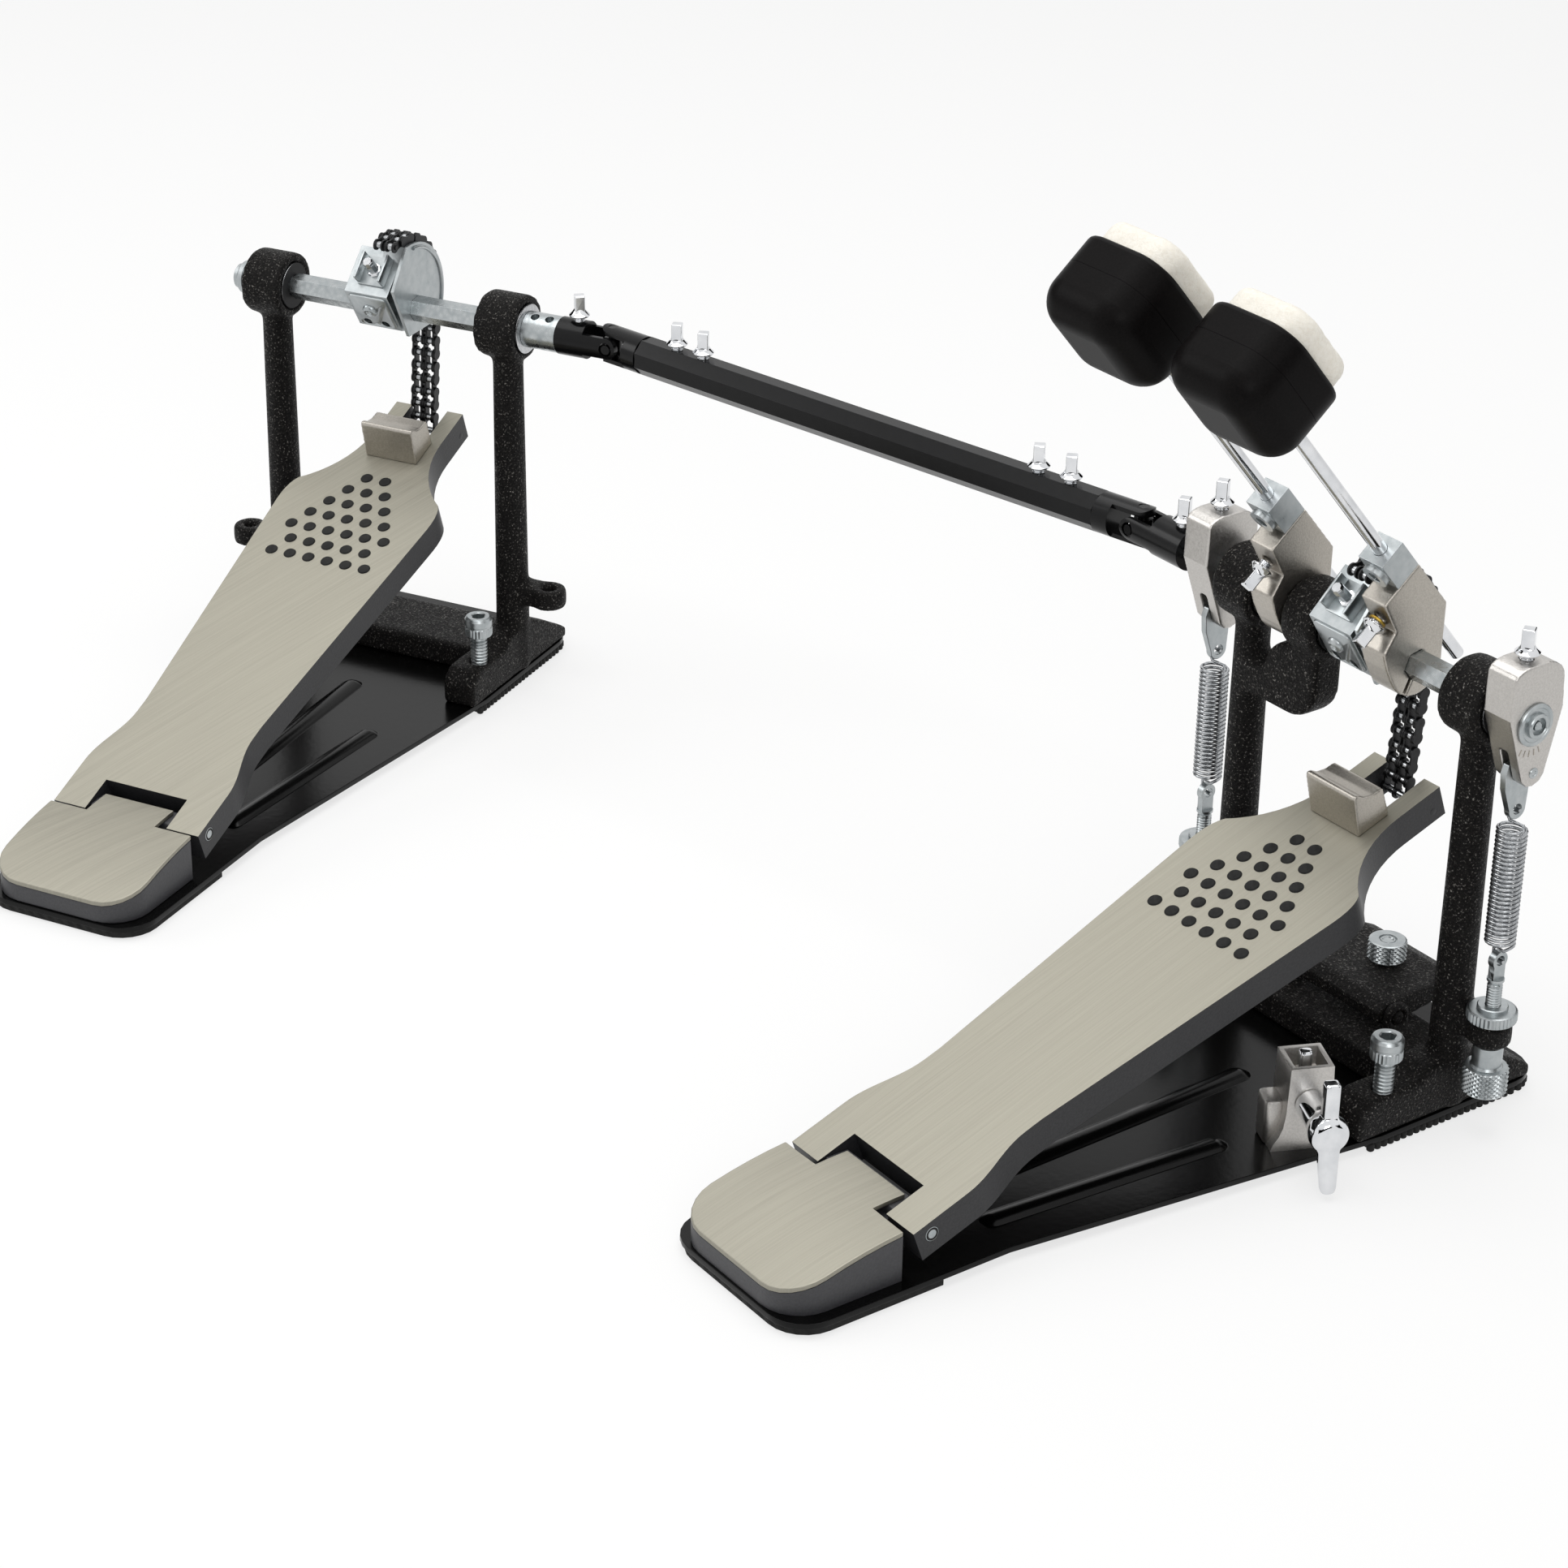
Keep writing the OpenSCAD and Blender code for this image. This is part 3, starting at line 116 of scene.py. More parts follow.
paper = bpy.data.materials.new("pale studio paper")
paper.use_nodes = True
tree = paper.node_tree
shader = tree.nodes["Principled BSDF"]
shader.inputs["Base Color"].default_value = colour(FLOOR_PALE)
shader.inputs["Roughness"].default_value = 0.9
shader.inputs["Specular IOR Level"].default_value = 0.1
seen = seen_rays(tree)
share = add(tree, "ShaderNodeMath", {0: (seen, 0), 1: FLOOR_GLOW}, operation="MULTIPLY")
glow = add(tree, "ShaderNodeEmission", {"Color": colour(STUDIO_WHITE), "Strength": 1.0})
mixed = add(tree, "ShaderNodeMixShader", {0: (share, 0), 1: (shader, 0), 2: (glow, 0)})
tree.links.new(mixed.outputs[0], tree.nodes["Material Output"].inputs["Surface"])

bpy.ops.object.select_all(action="DESELECT")
bpy.ops.mesh.primitive_plane_add(size=14, location=(-0.2, 0.1, -0.0004))
floor = bpy.context.object
floor.name = "studio_floor"
floor.data.materials.append(paper)
floor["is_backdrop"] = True

world = bpy.data.worlds.new("studio")
world.use_nodes = True
scene.world = world
tree = world.node_tree
tree.nodes.clear()
seen = seen_rays(tree)
soft = add(tree, "ShaderNodeBackground", {"Color": colour(STUDIO_WHITE), "Strength": 0.45})
white = add(tree, "ShaderNodeBackground", {"Color": colour(STUDIO_WHITE), "Strength": 1.0})
mixed = add(tree, "ShaderNodeMixShader", {0: (seen, 0), 1: (soft, 0), 2: (white, 0)})
add(tree, "ShaderNodeOutputWorld", {"Surface": (mixed, 0)})

for name, place, size, watts in (
    ("softbox_top", (-0.35, 0.05, 1.9), 1.9, 26),
    ("softbox_right", (1.7, -0.9, 1.1), 0.9, 9),
    ("softbox_left", (-1.6, -1.2, 1.2), 0.9, 8),
):
    lamp = bpy.data.lights.new(name, "AREA")
    lamp.size = size
    lamp.energy = watts
    lamp_object = bpy.data.objects.new(name, lamp)
    lamp_object.location = place
    aim = LAMPS_AIM - Vector(place)
    lamp_object.rotation_euler = aim.to_track_quat("-Z", "Y").to_euler()
    scene.collection.objects.link(lamp_object)

# Four black cards that only reflections see, around the stage, so that the bright metal shows
# dark edges, as under a studio softbox.
card_black = bpy.data.materials.new("black studio card")
card_black.use_nodes = True
shader = card_black.node_tree.nodes["Principled BSDF"]
shader.inputs["Base Color"].default_value = colour(CARD_BLACK)
shader.inputs["Roughness"].default_value = 1.0
shader.inputs["Specular IOR Level"].default_value = 0.0
for name, place, size in (
    ("card_front", (2.6, -2.2, 0.55), (4.2, 1.5)),
    ("card_left", (-2.6, -0.6, 0.7), (2.4, 1.6)),
    ("card_right", (2.6, 1.1, 0.8), (1.3, 1.4)),
    ("card_back", (-0.6, 2.8, 0.8), (1.6, 1.4)),
):
    bpy.ops.object.select_all(action="DESELECT")
    bpy.ops.mesh.primitive_plane_add(size=1)
    card = bpy.context.object
    card.name = name
    aim = CARDS_AIM - Vector(place)
    card.data.transform(Matrix.Translation(place) @ aim.to_track_quat("Z", "Y").to_matrix().to_4x4()
                        @ Matrix.Diagonal((*size, 1, 1)))
    card.data.materials.append(card_black)
    card.visible_camera = card.visible_diffuse = card.visible_shadow = False
    card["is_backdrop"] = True

# Rubber feet. Thin moulded rubber sheets under both base plates, with upright ribs along
# their edges, glued to the underside of the plates so that the pedals don't creep.

RUBBER_BLACK = "#141414"
RUBBER_GREY = "#232322"
RIB_PITCH = 0.0034
WAVE_LENGTH = 0.314


def finish(name, **sockets):
    """Starts a material and sets on its shader what is the same all over the surface."""
    made = bpy.data.materials.new(name)
    made.use_nodes = True
    surface = made.node_tree.nodes["Principled BSDF"]
    for socket, value in sockets.items():
        surface.inputs[socket.replace("_", " ")].default_value = value
    return made, made.node_tree, surface


def follow(tree, shader, pattern, dark, light, spread=(0.3, 0.7), rough=None, relief=None):
    """Lets the colour follow a pattern over a spread of its values; so can the roughness and the bump."""
    ramp = add(tree, "ShaderNodeValToRGB", {"Fac": (pattern, 0)})
    for stop, position, code in zip(ramp.color_ramp.elements, spread, (dark, light)):
        stop.position, stop.color = position, colour(code)
    tree.links.new(ramp.outputs[0], shader.inputs["Base Color"])
    if rough:
        ends = dict(zip(("From Min", "From Max", "To Min", "To Max"), (*spread, *rough)))
        ranged = add(tree, "ShaderNodeMapRange", {"Value": (pattern, 0), **ends})
        tree.links.new(ranged.outputs[0], shader.inputs["Roughness"])
    if relief:
        bump = add(tree, "ShaderNodeBump", {
            "Strength": relief[0], "Distance": relief[1], "Height": (pattern, 0)})
        tree.links.new(bump.outputs[0], shader.inputs["Normal"])
    return ramp


def grained(name, dark, light, size, detail, spread=(0.3, 0.7), rough=None, relief=None, noise=None,
            **sockets):
    """A finish that follows one noise of a given grain size, in metres."""
    made, tree, shader = finish(name, **sockets)
    where = add(tree, "ShaderNodeTexCoord")
    inputs = {"Vector": (where, "Object"), "Scale": 1 / size, "Detail": detail, **(noise or {})}
    follow(tree, shader, add(tree, "ShaderNodeTexNoise", inputs), dark, light, spread, rough, relief)
    return made


def alone(piece):
    """Selects one piece and makes it the active one."""
    bpy.ops.object.select_all(action="DESELECT")
    piece.select_set(True)
    bpy.context.view_layer.objects.active = piece


def modify(piece, kind, **settings):
    """Adds a modifier with its settings and applies it."""
    alone(piece)
    modifier = piece.modifiers.new(kind.lower(), kind)
    for name, value in settings.items():
        setattr(modifier, name, value)
    bpy.ops.object.modifier_apply(modifier=modifier.name)


def combine(piece, tool, operation="DIFFERENCE"):
    """Cuts a piece with a tool, or joins the two, and takes the tool away."""
    modify(piece, "BOOLEAN", operation=operation, solver="EXACT", object=tool)
    bpy.data.objects.remove(tool)


def smooth(piece, degrees):
    """Shades a piece smooth where its faces meet at less than an angle."""
    alone(piece)
    bpy.ops.object.shade_smooth_by_angle(angle=math.radians(degrees))


def solid_copy(node, name, whole_faces):
    """A bare copy of a solid, on request with its triangles merged back into whole faces."""
    piece = bpy.data.objects.new(name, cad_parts[node].data.copy())
    scene.collection.objects.link(piece)
    alone(piece)
    bpy.ops.object.mode_set(mode="EDIT")
    bpy.ops.mesh.select_all(action="SELECT")
    bpy.ops.mesh.customdata_custom_splitnormals_clear()
    bpy.ops.mesh.remove_doubles(threshold=1e-6)
    if whole_faces:
        bpy.ops.mesh.dissolve_limited(angle_limit=math.radians(1))
    bpy.ops.object.mode_set(mode="OBJECT")
    piece.data.materials.clear()
    return piece


def eased_copy(node, name, easing, segments=2, drilled=None):
    """A copy of a solid, drilled where a tool is given, with its edges eased."""
    piece = solid_copy(node, name, whole_faces=True)
    if drilled:
        combine(piece, drilled)
    modify(piece, "BEVEL", width=easing, segments=segments, limit_method="ANGLE",
           angle_limit=math.radians(32), use_clamp_overlap=True)
    smooth(piece, 40)
    modify(piece, "WEIGHTED_NORMAL", keep_sharp=True, weight=80)
    return piece


def fit(piece, body, slot, surface, *solids):
    """Gives a finished piece its surface, fixes it to its body and hides the solids it stands for."""
    piece.data.materials.append(surface)
    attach(piece, body)
    if solids:
        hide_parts(*solids)
    return piece


# Moulded rubber: dull black with a faint grey bloom in patches of 4 mm. Its ribs are a bump, from a
# wave texture that repeats at the wave length over its scale.
rubber, tree, shader = finish("moulded rubber", Roughness=0.78, Specular_IOR_Level=0.3)
where = add(tree, "ShaderNodeTexCoord")
bloom = add(tree, "ShaderNodeTexNoise", {"Vector": (where, "Object"), "Scale": 1 / 0.004, "Detail": 4})
follow(tree, shader, bloom, RUBBER_BLACK, RUBBER_GREY)
ribs = add(tree, "ShaderNodeTexWave", {"Vector": (where, "Object"), "Scale": WAVE_LENGTH / RIB_PITCH},
           wave_type="BANDS", bands_direction="DIAGONAL")
bump = add(tree, "ShaderNodeBump", {"Strength": 0.8, "Distance": 0.0006, "Height": (ribs, 1)})
tree.links.new(bump.outputs[0], shader.inputs["Normal"])

fit(eased_copy("base_pads", "rubber_feet", 0.0005), "base", "rubber", rubber, "base_pads")


def turned(name, outline, steps=48):
    """A turned piece: its half outline, as radius and height in millimetres, spun about Z."""
    mesh = bpy.data.meshes.new(name)
    mesh.from_pydata([(r / 1000, 0, z / 1000) for r, z in outline],
                     [(i, i + 1) for i in range(len(outline) - 1)], [])
    piece = bpy.data.objects.new(name, mesh)
    scene.collection.objects.link(piece)
    alone(piece)
    bpy.ops.object.mode_set(mode="EDIT")
    bpy.ops.mesh.select_all(action="SELECT")
    bpy.ops.mesh.spin(steps=steps, angle=math.tau, center=(0, 0, 0), axis=(0, 0, 1))
    bpy.ops.mesh.select_all(action="SELECT")
    bpy.ops.mesh.remove_doubles(threshold=1e-6)
    bpy.ops.mesh.normals_make_consistent(inside=False)
    bpy.ops.object.mode_set(mode="OBJECT")
    smooth(piece, 35)
    return piece


def repeated(name, pattern, places):
    """Copies of one piece at several places, joined into one object that stays at the origin."""
    copies = []
    for place in places:
        copy = bpy.data.objects.new(name, pattern.data.copy())
        scene.collection.objects.link(copy)
        copy.data.transform(place)
        copies.append(copy)
    bpy.data.objects.remove(pattern)
    bpy.ops.object.select_all(action="DESELECT")
    for copy in copies:
        copy.select_set(True)
    bpy.context.view_layer.objects.active = copies[0]
    if len(copies) > 1:
        bpy.ops.object.join()
    return bpy.context.object


def shift(x, y, z):
    """The matrix of a move."""
    return Matrix.Translation((x, y, z))


def turn(degrees, axis):
    """The matrix of a turn about one axis."""
    return Matrix.Rotation(math.radians(degrees), 4, axis)


# The second pedal is the main pedal's twin, moved aside and turned.
PEDAL_TURN = 28.8
PEDALS = {"right": Matrix.Identity(4), "left": shift(-0.4155, -0.0895, 0) @ turn(PEDAL_TURN, "Z")}
SECOND = PEDALS["left"]
PAD_EDGE = 0.0606
PAD_FRONT = 0.2866
PAD_CORNER = 0.0146
TEETH_FROM = 0.196

# The teeth of the rubber at the front corner, where it grips the carpet.
corner_x, corner_y = PAD_EDGE - PAD_CORNER, PAD_FRONT - PAD_CORNER
tooth_at = [(PAD_EDGE, TEETH_FROM + RIB_PITCH * i) for i in range(23)]
tooth_at += [(corner_x + PAD_CORNER * math.cos(a), corner_y + PAD_CORNER * math.sin(a))
             for a in [RIB_PITCH / PAD_CORNER * (i + 1) for i in range(6)]]
tooth_at += [(corner_x - RIB_PITCH * i, PAD_FRONT) for i in range(8)]
tooth = turned("rubber_tooth", [(0, 0), (1.2, 0), (1.6, 0.4), (1.6, 2.8), (1.2, 3.3), (0, 3.3)], steps=10)
teeth = repeated("rubber_teeth", tooth, [
    pedal @ shift(x, y, 0) for pedal in PEDALS.values() for x, y in tooth_at])
fit(teeth, "base", "rubber", rubber)

# Base plates. Pressed steel sheets, 2.5 mm thick, that carry each pedal. Sprayed with a
# thick glossy black enamel, with the cast frame and the heel block screwed down on them.

ENAMEL_BLACK = "#030303"
ENAMEL_SOFT = "#060606"

# Stoved enamel: deep gloss with the slow ripple, some 3 mm across, that sprayed paint leaves.
enamel = grained("gloss black enamel", ENAMEL_BLACK, ENAMEL_SOFT, 0.003, 2, relief=(0.16, 0.0002),
                 Roughness=0.2, Specular_IOR_Level=0.18)

for side in PEDALS:
    fit(eased_copy(f"{side}_base_plate", f"{side}_base", 0.0007), "base", "gloss_black_plate", enamel,
        f"{side}_base_plate")

# Frames. Each is an aluminium casting: two posts with bearing housings at the top and feet
# that are screwed to the base plate. Sand-rough, with soft cast edges, powder coated black.

POWDER_BLACK = "#040303"
POWDER_GREY = "#141210"
# The pale colour painted on the grain's tips stands in for glints: a painted glint.
POWDER_PAINTED_GLINT = "#95928D"
CAST_GRID = 0.0012


def reskin(piece, grid, rounds):
    """Gives a piece one closed skin on a fine grid and smooths it by some rounds."""
    modify(piece, "REMESH", mode="VOXEL", voxel_size=grid)
    modify(piece, "SMOOTH", factor=0.5, iterations=rounds)


def cast_copy(node, name, grid, rounds):
    """A copy of a solid as a casting: one closed skin with every edge and inner corner softened."""
    piece = solid_copy(node, name, whole_faces=False)
    reskin(piece, grid, rounds)
    bpy.ops.object.shade_smooth()
    return piece


# Textured powder coat: rough black with a grain of about 0.9 mm; the grain's tips are painted pale, a painted
# glint, and are less rough so that they also catch the lamps.
powder, tree, shader = finish("textured powder coat", Specular_IOR_Level=0.13)
where = add(tree, "ShaderNodeTexCoord")
grain = add(tree, "ShaderNodeTexNoise", {
    "Vector": (where, "Object"), "Scale": 1 / 0.0009, "Detail": 4, "Roughness": 0.65})
tone_and_painted_glints = follow(tree, shader, grain, POWDER_BLACK, POWDER_GREY, (0.42, 0.6), relief=(1.0, 0.0009))
# The grain's highest tips are painted pale: a painted glint.
tone_and_painted_glints.color_ramp.elements.new(0.7).color = colour(POWDER_PAINTED_GLINT)
glint = add(tree, "ShaderNodeMapRange", {
    "Value": (grain, 0), "From Min": 0.4, "From Max": 0.68, "To Min": 0.62, "To Max": 0.25})
tree.links.new(glint.outputs[0], shader.inputs["Roughness"])

for side in PEDALS:
    fit(cast_copy(f"{side}_frame", f"{side}_casting", CAST_GRID, 16), "base", "black_powder_coat", powder,
        f"{side}_frame")

# Bearings. Ground steel rings pressed into the housings at the top of the posts; the axles
# turn in them, and a bright rim shows at each face of a housing.

BEARING_STEEL = "#C3C4C6"
BEARING_SHADE = "#A9AAAC"
SEAL_BLACK = "#0E0E0F"
SEAL_GREY = "#1A1A1B"
AXLE = Vector((0, 0.239, 0.180))
ON_AXLE = turn(90, "Y")
SPACER_X = 0.06555
MIDWAY = -0.25

# Ground bearing steel: bright, with the fine cloudy grain of about 1.4 mm that grinding leaves.
ground = grained("ground bearing steel", BEARING_SHADE, BEARING_STEEL, 0.0014, 4, Metallic=1, Roughness=0.24)

# Bearing seal: dull black nitrile with faint moulding swirls of about 2 mm.
seal = grained("nitrile bearing seal", SEAL_BLACK, SEAL_GREY, 0.002, 3, noise={"Distortion": 1},
               Roughness=0.6, Specular_IOR_Level=0.3)

rings = fit(eased_copy("axle_bearings", "axle_bearing_rings", 0.0004), "base", "bearing_steel", ground,
            "axle_bearings")
rings.data.materials.append(seal)
axle_line = {side: pedal.to_3x3() @ Vector((1, 0, 0)) for side, pedal in PEDALS.items()}


def on_bar(x):
    """The place on the axles' line at a distance along it."""
    return shift(x, AXLE.y, AXLE.z)


def across_axle(face):
    """How squarely a face lies across its own pedal's axles and pins, from 0 to 1."""
    return abs(face.normal.dot(axle_line["left" if face.center.x < MIDWAY else "right"]))


for face in rings.data.polygons:
    face.material_index = 1 if across_axle(face) > 0.9 else 0

# A thin bright ring shows between the second pedal's right housing and its sleeve.
spacer = turned("spacer_ring", [
    (5.4, 0), (11.2, 0), (11.6, 0.2), (11.6, 0.6), (11.2, 0.8), (5.4, 0.8), (5.4, 0)])
fit(repeated("bright_spacer_ring", spacer, [SECOND @ on_bar(SPACER_X) @ ON_AXLE]),
    "base", "bearing_steel", ground)

# Heels. A cast block sits on the rear of each base plate, painted a satin charcoal, with a
# brushed metal plate let into its top; the footboard is hinged to it by a steel pin.

CHARCOAL = "#38383B"
CHARCOAL_DARK = "#2E2E31"
BRUSHED_LIGHT = "#A19E92"
BRUSHED_DARK = "#908D82"
PLATED_LIGHT = "#B6BABB"
PLATED_DARK = "#9DA3A5"

# Satin charcoal paint: even, with a fine texture of about 0.9 mm from the spray gun.
charcoal = grained("satin charcoal paint", CHARCOAL_DARK, CHARCOAL, 0.0009, 3, relief=(0.3, 0.0002),
                   Roughness=0.46)


def brushed_along(name, heading):
    """Brushed aluminium: hairlines 0.8 mm apart and some 60 mm long that run along the pedal."""
    metal, tree, shader = finish(name, Metallic=1)
    where = add(tree, "ShaderNodeTexCoord")
    lined = add(tree, "ShaderNodeMapping", {
        "Vector": (where, "Object"), "Rotation": (0, 0, -heading), "Scale": (1 / 0.0008, 1 / 0.06, 1 / 0.06)})
    hairs = add(tree, "ShaderNodeTexNoise", {
        "Vector": (lined, 0), "Scale": 1, "Detail": 4, "Roughness": 0.65})
    follow(tree, shader, hairs, BRUSHED_DARK, BRUSHED_LIGHT, rough=(0.48, 0.62), relief=(0.25, 0.00008))
    return metal


brushed = {"right": brushed_along("brushed aluminium, main pedal", 0),
           "left": brushed_along("brushed aluminium, second pedal", math.radians(PEDAL_TURN))}

for side in PEDALS:
    fit(eased_copy(f"{side}_heel_block", f"{side}_heel", 0.0009), "base", "charcoal_paint", charcoal,
        f"{side}_heel_block")

heel_tops = fit(eased_copy("heel_plates", "heel_top_plates", 0.0005), "base", "brushed_plate",
                brushed["right"], "heel_plates")
heel_tops.data.materials.append(brushed["left"])
for face in heel_tops.data.polygons:
    face.material_index = 1 if face.center.x < MIDWAY else 0

# Zinc plated steel: bluish bright grey with cloudy patches some 5 mm across.
plated = grained("zinc plated steel", PLATED_DARK, PLATED_LIGHT, 0.005, 5, rough=(0.27, 0.4),
                 noise={"Roughness": 0.6}, Metallic=1)

pins = fit(eased_copy("hinge_pins", "heel_hinge_pins", 0.0003), "base", "plated_steel", plated, "hinge_pins")
pins.data.materials.append(rubber)


def edit(piece, operator, kind=None, test=None, **settings):
    """Runs one edit operator on a whole piece, or on those of its edges or faces that pass a test."""
    alone(piece)
    bpy.ops.object.mode_set(mode="EDIT")
    bpy.ops.mesh.select_all(action="DESELECT" if test else "SELECT")
    if test:
        bpy.ops.mesh.select_mode(type=kind)
        bpy.ops.object.mode_set(mode="OBJECT")
        for part in piece.data.edges if kind == "EDGE" else piece.data.polygons:
            part.select = test(part)
        bpy.ops.object.mode_set(mode="EDIT")
    operator(**settings)
    bpy.ops.object.mode_set(mode="OBJECT")


# The ends of the pins show a black seal around a bright core.
edit(pins, bpy.ops.mesh.inset, "FACE", lambda face: across_axle(face) > 0.99, thickness=0.0009)
for face in pins.data.polygons:
    face.material_index = 1 if across_axle(face) > 0.99 and not face.select else 0

# Floor spurs. Four M8 screws with a knurled socket head and a ground point, set in the feet
# of the frames; turned down, they bite into the carpet.

SPUR_AT = [(0.0556, 0.205), (-0.0716, 0.205)]


def screw_thread(radius, depth, pitch, low, high):
    """The outline of a thread: crests and roots in turn, from low to high."""
    turns = round((high - low) / pitch)
    step = (high - low) / turns
    turn_profile = ((radius - depth, 0), (radius, 0.35), (radius, 0.6))
    return [(r, low + step * (i + part)) for i in range(turns) for r, part in turn_profile]


def knurl(piece, radius, low, high, depth, crossed=False):
    """Cuts a knurl into a turned piece's rim: every other edge goes in, row by row where it is crossed."""
    rim = [v for v in piece.data.vertices if abs(v.co.xy.length - radius / 1000) < 2e-5]
    rows = sorted({round(v.co.z, 6) for v in rim if low / 1000 <= v.co.z <= high / 1000})
    spokes = {round(math.atan2(v.co.y, v.co.x), 4) for v in piece.data.vertices
              if v.co.xy.length > radius / 1100}
    for v in rim:
        if round(v.co.z, 6) in rows:
            spoke = round(math.atan2(v.co.y, v.co.x) / math.tau * len(spokes))
            row = rows.index(round(v.co.z, 6)) if crossed else 0
            if (spoke + row) % 2:
                v.co.x *= 1 - depth / radius
                v.co.y *= 1 - depth / radius
    if crossed:
        edit(piece, bpy.ops.mesh.quads_convert_to_tris, quad_method="SHORTEST_DIAGONAL")
    smooth(piece, 18)


def hexagon_socket(piece, radius, low, high):
    """Gives the round recess of a turned piece six flats."""
    for v in piece.data.vertices:
        if low / 1000 - 1e-6 <= v.co.z <= high / 1000 + 1e-6 and abs(v.co.xy.length - radius / 1000) < 2e-5:
            off_flat = math.atan2(v.co.y, v.co.x) % (math.pi / 3) - math.pi / 6
            v.co.x, v.co.y = (c * 0.87 / math.cos(off_flat) for c in v.co.xy)


spur_outline = [(0, 1), (0.9, 1), (3.2, 6.5), *screw_thread(4, 0.75, 1.7, 6.8, 35.6), (3.5, 35.8), (5.4, 36),
                (6.2, 36.5), (6.5, 37), (6.5, 40.4), (6.1, 40.8), (6.1, 41.4), (6.5, 41.8), (6.5, 44.6),
                (5.9, 45.7), (5.2, 46), (3.5, 46), (3.2, 45.7), (3.2, 41), (0, 41)]
spur = turned("floor_spur", spur_outline, steps=52)
knurl(spur, 6.5, 36.9, 40.5, 0.35)
hexagon_socket(spur, 3.2, 41, 45.7)
spurs = repeated("floor_spurs", spur, [
    pedal @ shift(x, y, 0) for pedal in PEDALS.values() for x, y in SPUR_AT])
fit(spurs, "base", "plated_steel", plated, "spur_screws")

# Footboards. Long cast treads, wide at the ball of the foot and slotted at the toe: brushed
# bare on top, painted on the sides. Each is hinged to the heel and hung from the chain.

SIDE_DARK = "#222224"
SIDE_LIGHT = "#2C2C2E"
BOARD_ANGLE = 19.8
HINGE_Z = 0.0223
TREAD_TOP = 0.0057
PLUG_X, PLUG_Y, PLUG_Z = 0.0182, 0.2718, -0.0033

# Satin black paint: a little darker than the heels, with the same texture from the spray gun.
side_paint = grained("satin black paint", SIDE_DARK, SIDE_LIGHT, 0.0009, 3, relief=(0.3, 0.0002),
                     Roughness=0.44, Specular_IOR_Level=0.35)

on_tread = shift(0, 0, HINGE_Z) @ turn(BOARD_ANGLE, "X")
tread_up = {side: (pedal @ on_tread).to_3x3() @ Vector((0, 0, 1)) for side, pedal in PEDALS.items()}

for side in PEDALS:
    board = fit(eased_copy(f"{side}_footboard", f"{side}_tread", 0.0009), f"{side}_board", "charcoal_paint",
                side_paint, f"{side}_footboard")
    board.data.materials.append(brushed[side])
    for face in board.data.polygons:
        face.material_index = 1 if face.normal.dot(tread_up[side]) > 0.8 else 0

# The ends of the chain's lowest pin are plugged and painted over.
for side, pedal in PEDALS.items():
    plug = turned("pin_plug", [(0, 0.12), (1.3, 0.08), (1.75, -0.05), (1.75, -0.5), (0, -0.5)], steps=24)
    ends = [pedal @ on_tread @ shift(end * PLUG_X, PLUG_Y, PLUG_Z) @ turn(90 * end, "Y")
            for end in (1, -1)]
    fit(repeated(f"{side}_pin_plugs", plug, ends), f"{side}_board", "charcoal_paint", side_paint)

# Grip dots. Small domes of black rubber in staggered rows, glued to each tread under the ball
# of the foot so that a shoe doesn't slip.

FIRST_ROW = 166
ROW_PITCH = 9.5
DOT_PITCH = 10

# Every other row stands half a pitch aside; the rows grow shorter towards the toe.
dots = [(DOT_PITCH * (i - 2.5 + row % 2 / 2), FIRST_ROW + ROW_PITCH * row) for row in range(7)
        for i in range(6 - row % 2)]
dots = [(u / 1000, v / 1000) for u, v in dots if abs(u) <= 173 - 0.75 * v]
for side, pedal in PEDALS.items():
    dot = turned("grip_dot", [(0, 0.9), (1.5, 0.85), (2.6, 0.6), (3, 0.1), (3, -0.2), (0, -0.2)], steps=20)
    spots = [pedal @ on_tread @ shift(u, v, TREAD_TOP) for u, v in dots]
    fit(repeated(f"{side}_grip_dots", dot, spots), f"{side}_board", "rubber", rubber)

# Toe stops. Small zinc castings screwed on at the front of each footboard, with a leaning
# front face and a scooped top.

ZINC_LIGHT = "#B8B3AB"
ZINC_DARK = "#A29D95"
ZINC_GRID = 0.0005


def cast_zinc(name, dark, light):
    """Die-cast zinc: matte warm grey with a sandy grain of about 0.8 mm."""
    return grained(name, dark, light, 0.0008, 3, rough=(0.3, 0.42), relief=(0.35, 0.00018),
                   noise={"Roughness": 0.6}, Metallic=1)


zinc = cast_zinc("die-cast zinc", ZINC_DARK, ZINC_LIGHT)

for side in PEDALS:
    fit(cast_copy(f"{side}_toe_stop", f"{side}_toe_block", ZINC_GRID, 5), f"{side}_board", "cast_zinc", zinc,
        f"{side}_toe_stop")

# Axles. Hexagon steel bars with round journals, hammered and zinc plated; the main pedal has
# one for its own beater and a shorter one for the second beater, the second pedal its own.

MAIN_END = 0.0807
SECOND_END = -0.0815
SLEEVE_HOLES = (0.0715, 0.079)
SLEEVE_TURN = 22

# Hammered plating: the plated surface again, with dents about 2 mm across.
hammered, tree, shader = finish("hammered plated steel", Metallic=1)
where = add(tree, "ShaderNodeTexCoord")
dents = add(tree, "ShaderNodeTexVoronoi", {"Vector": (where, "Object"), "Scale": 1 / 0.0022},
            feature="SMOOTH_F1")
follow(tree, shader, dents, PLATED_LIGHT, PLATED_DARK, (0.1, 0.8), rough=(0.2, 0.36), relief=(0.25, 0.0002))


def plated_part(name, pattern, body, *places):
    """Fixes copies of a plated piece to a body, one at each place."""
    fit(repeated(name, pattern, places), body, "plated_steel", plated)


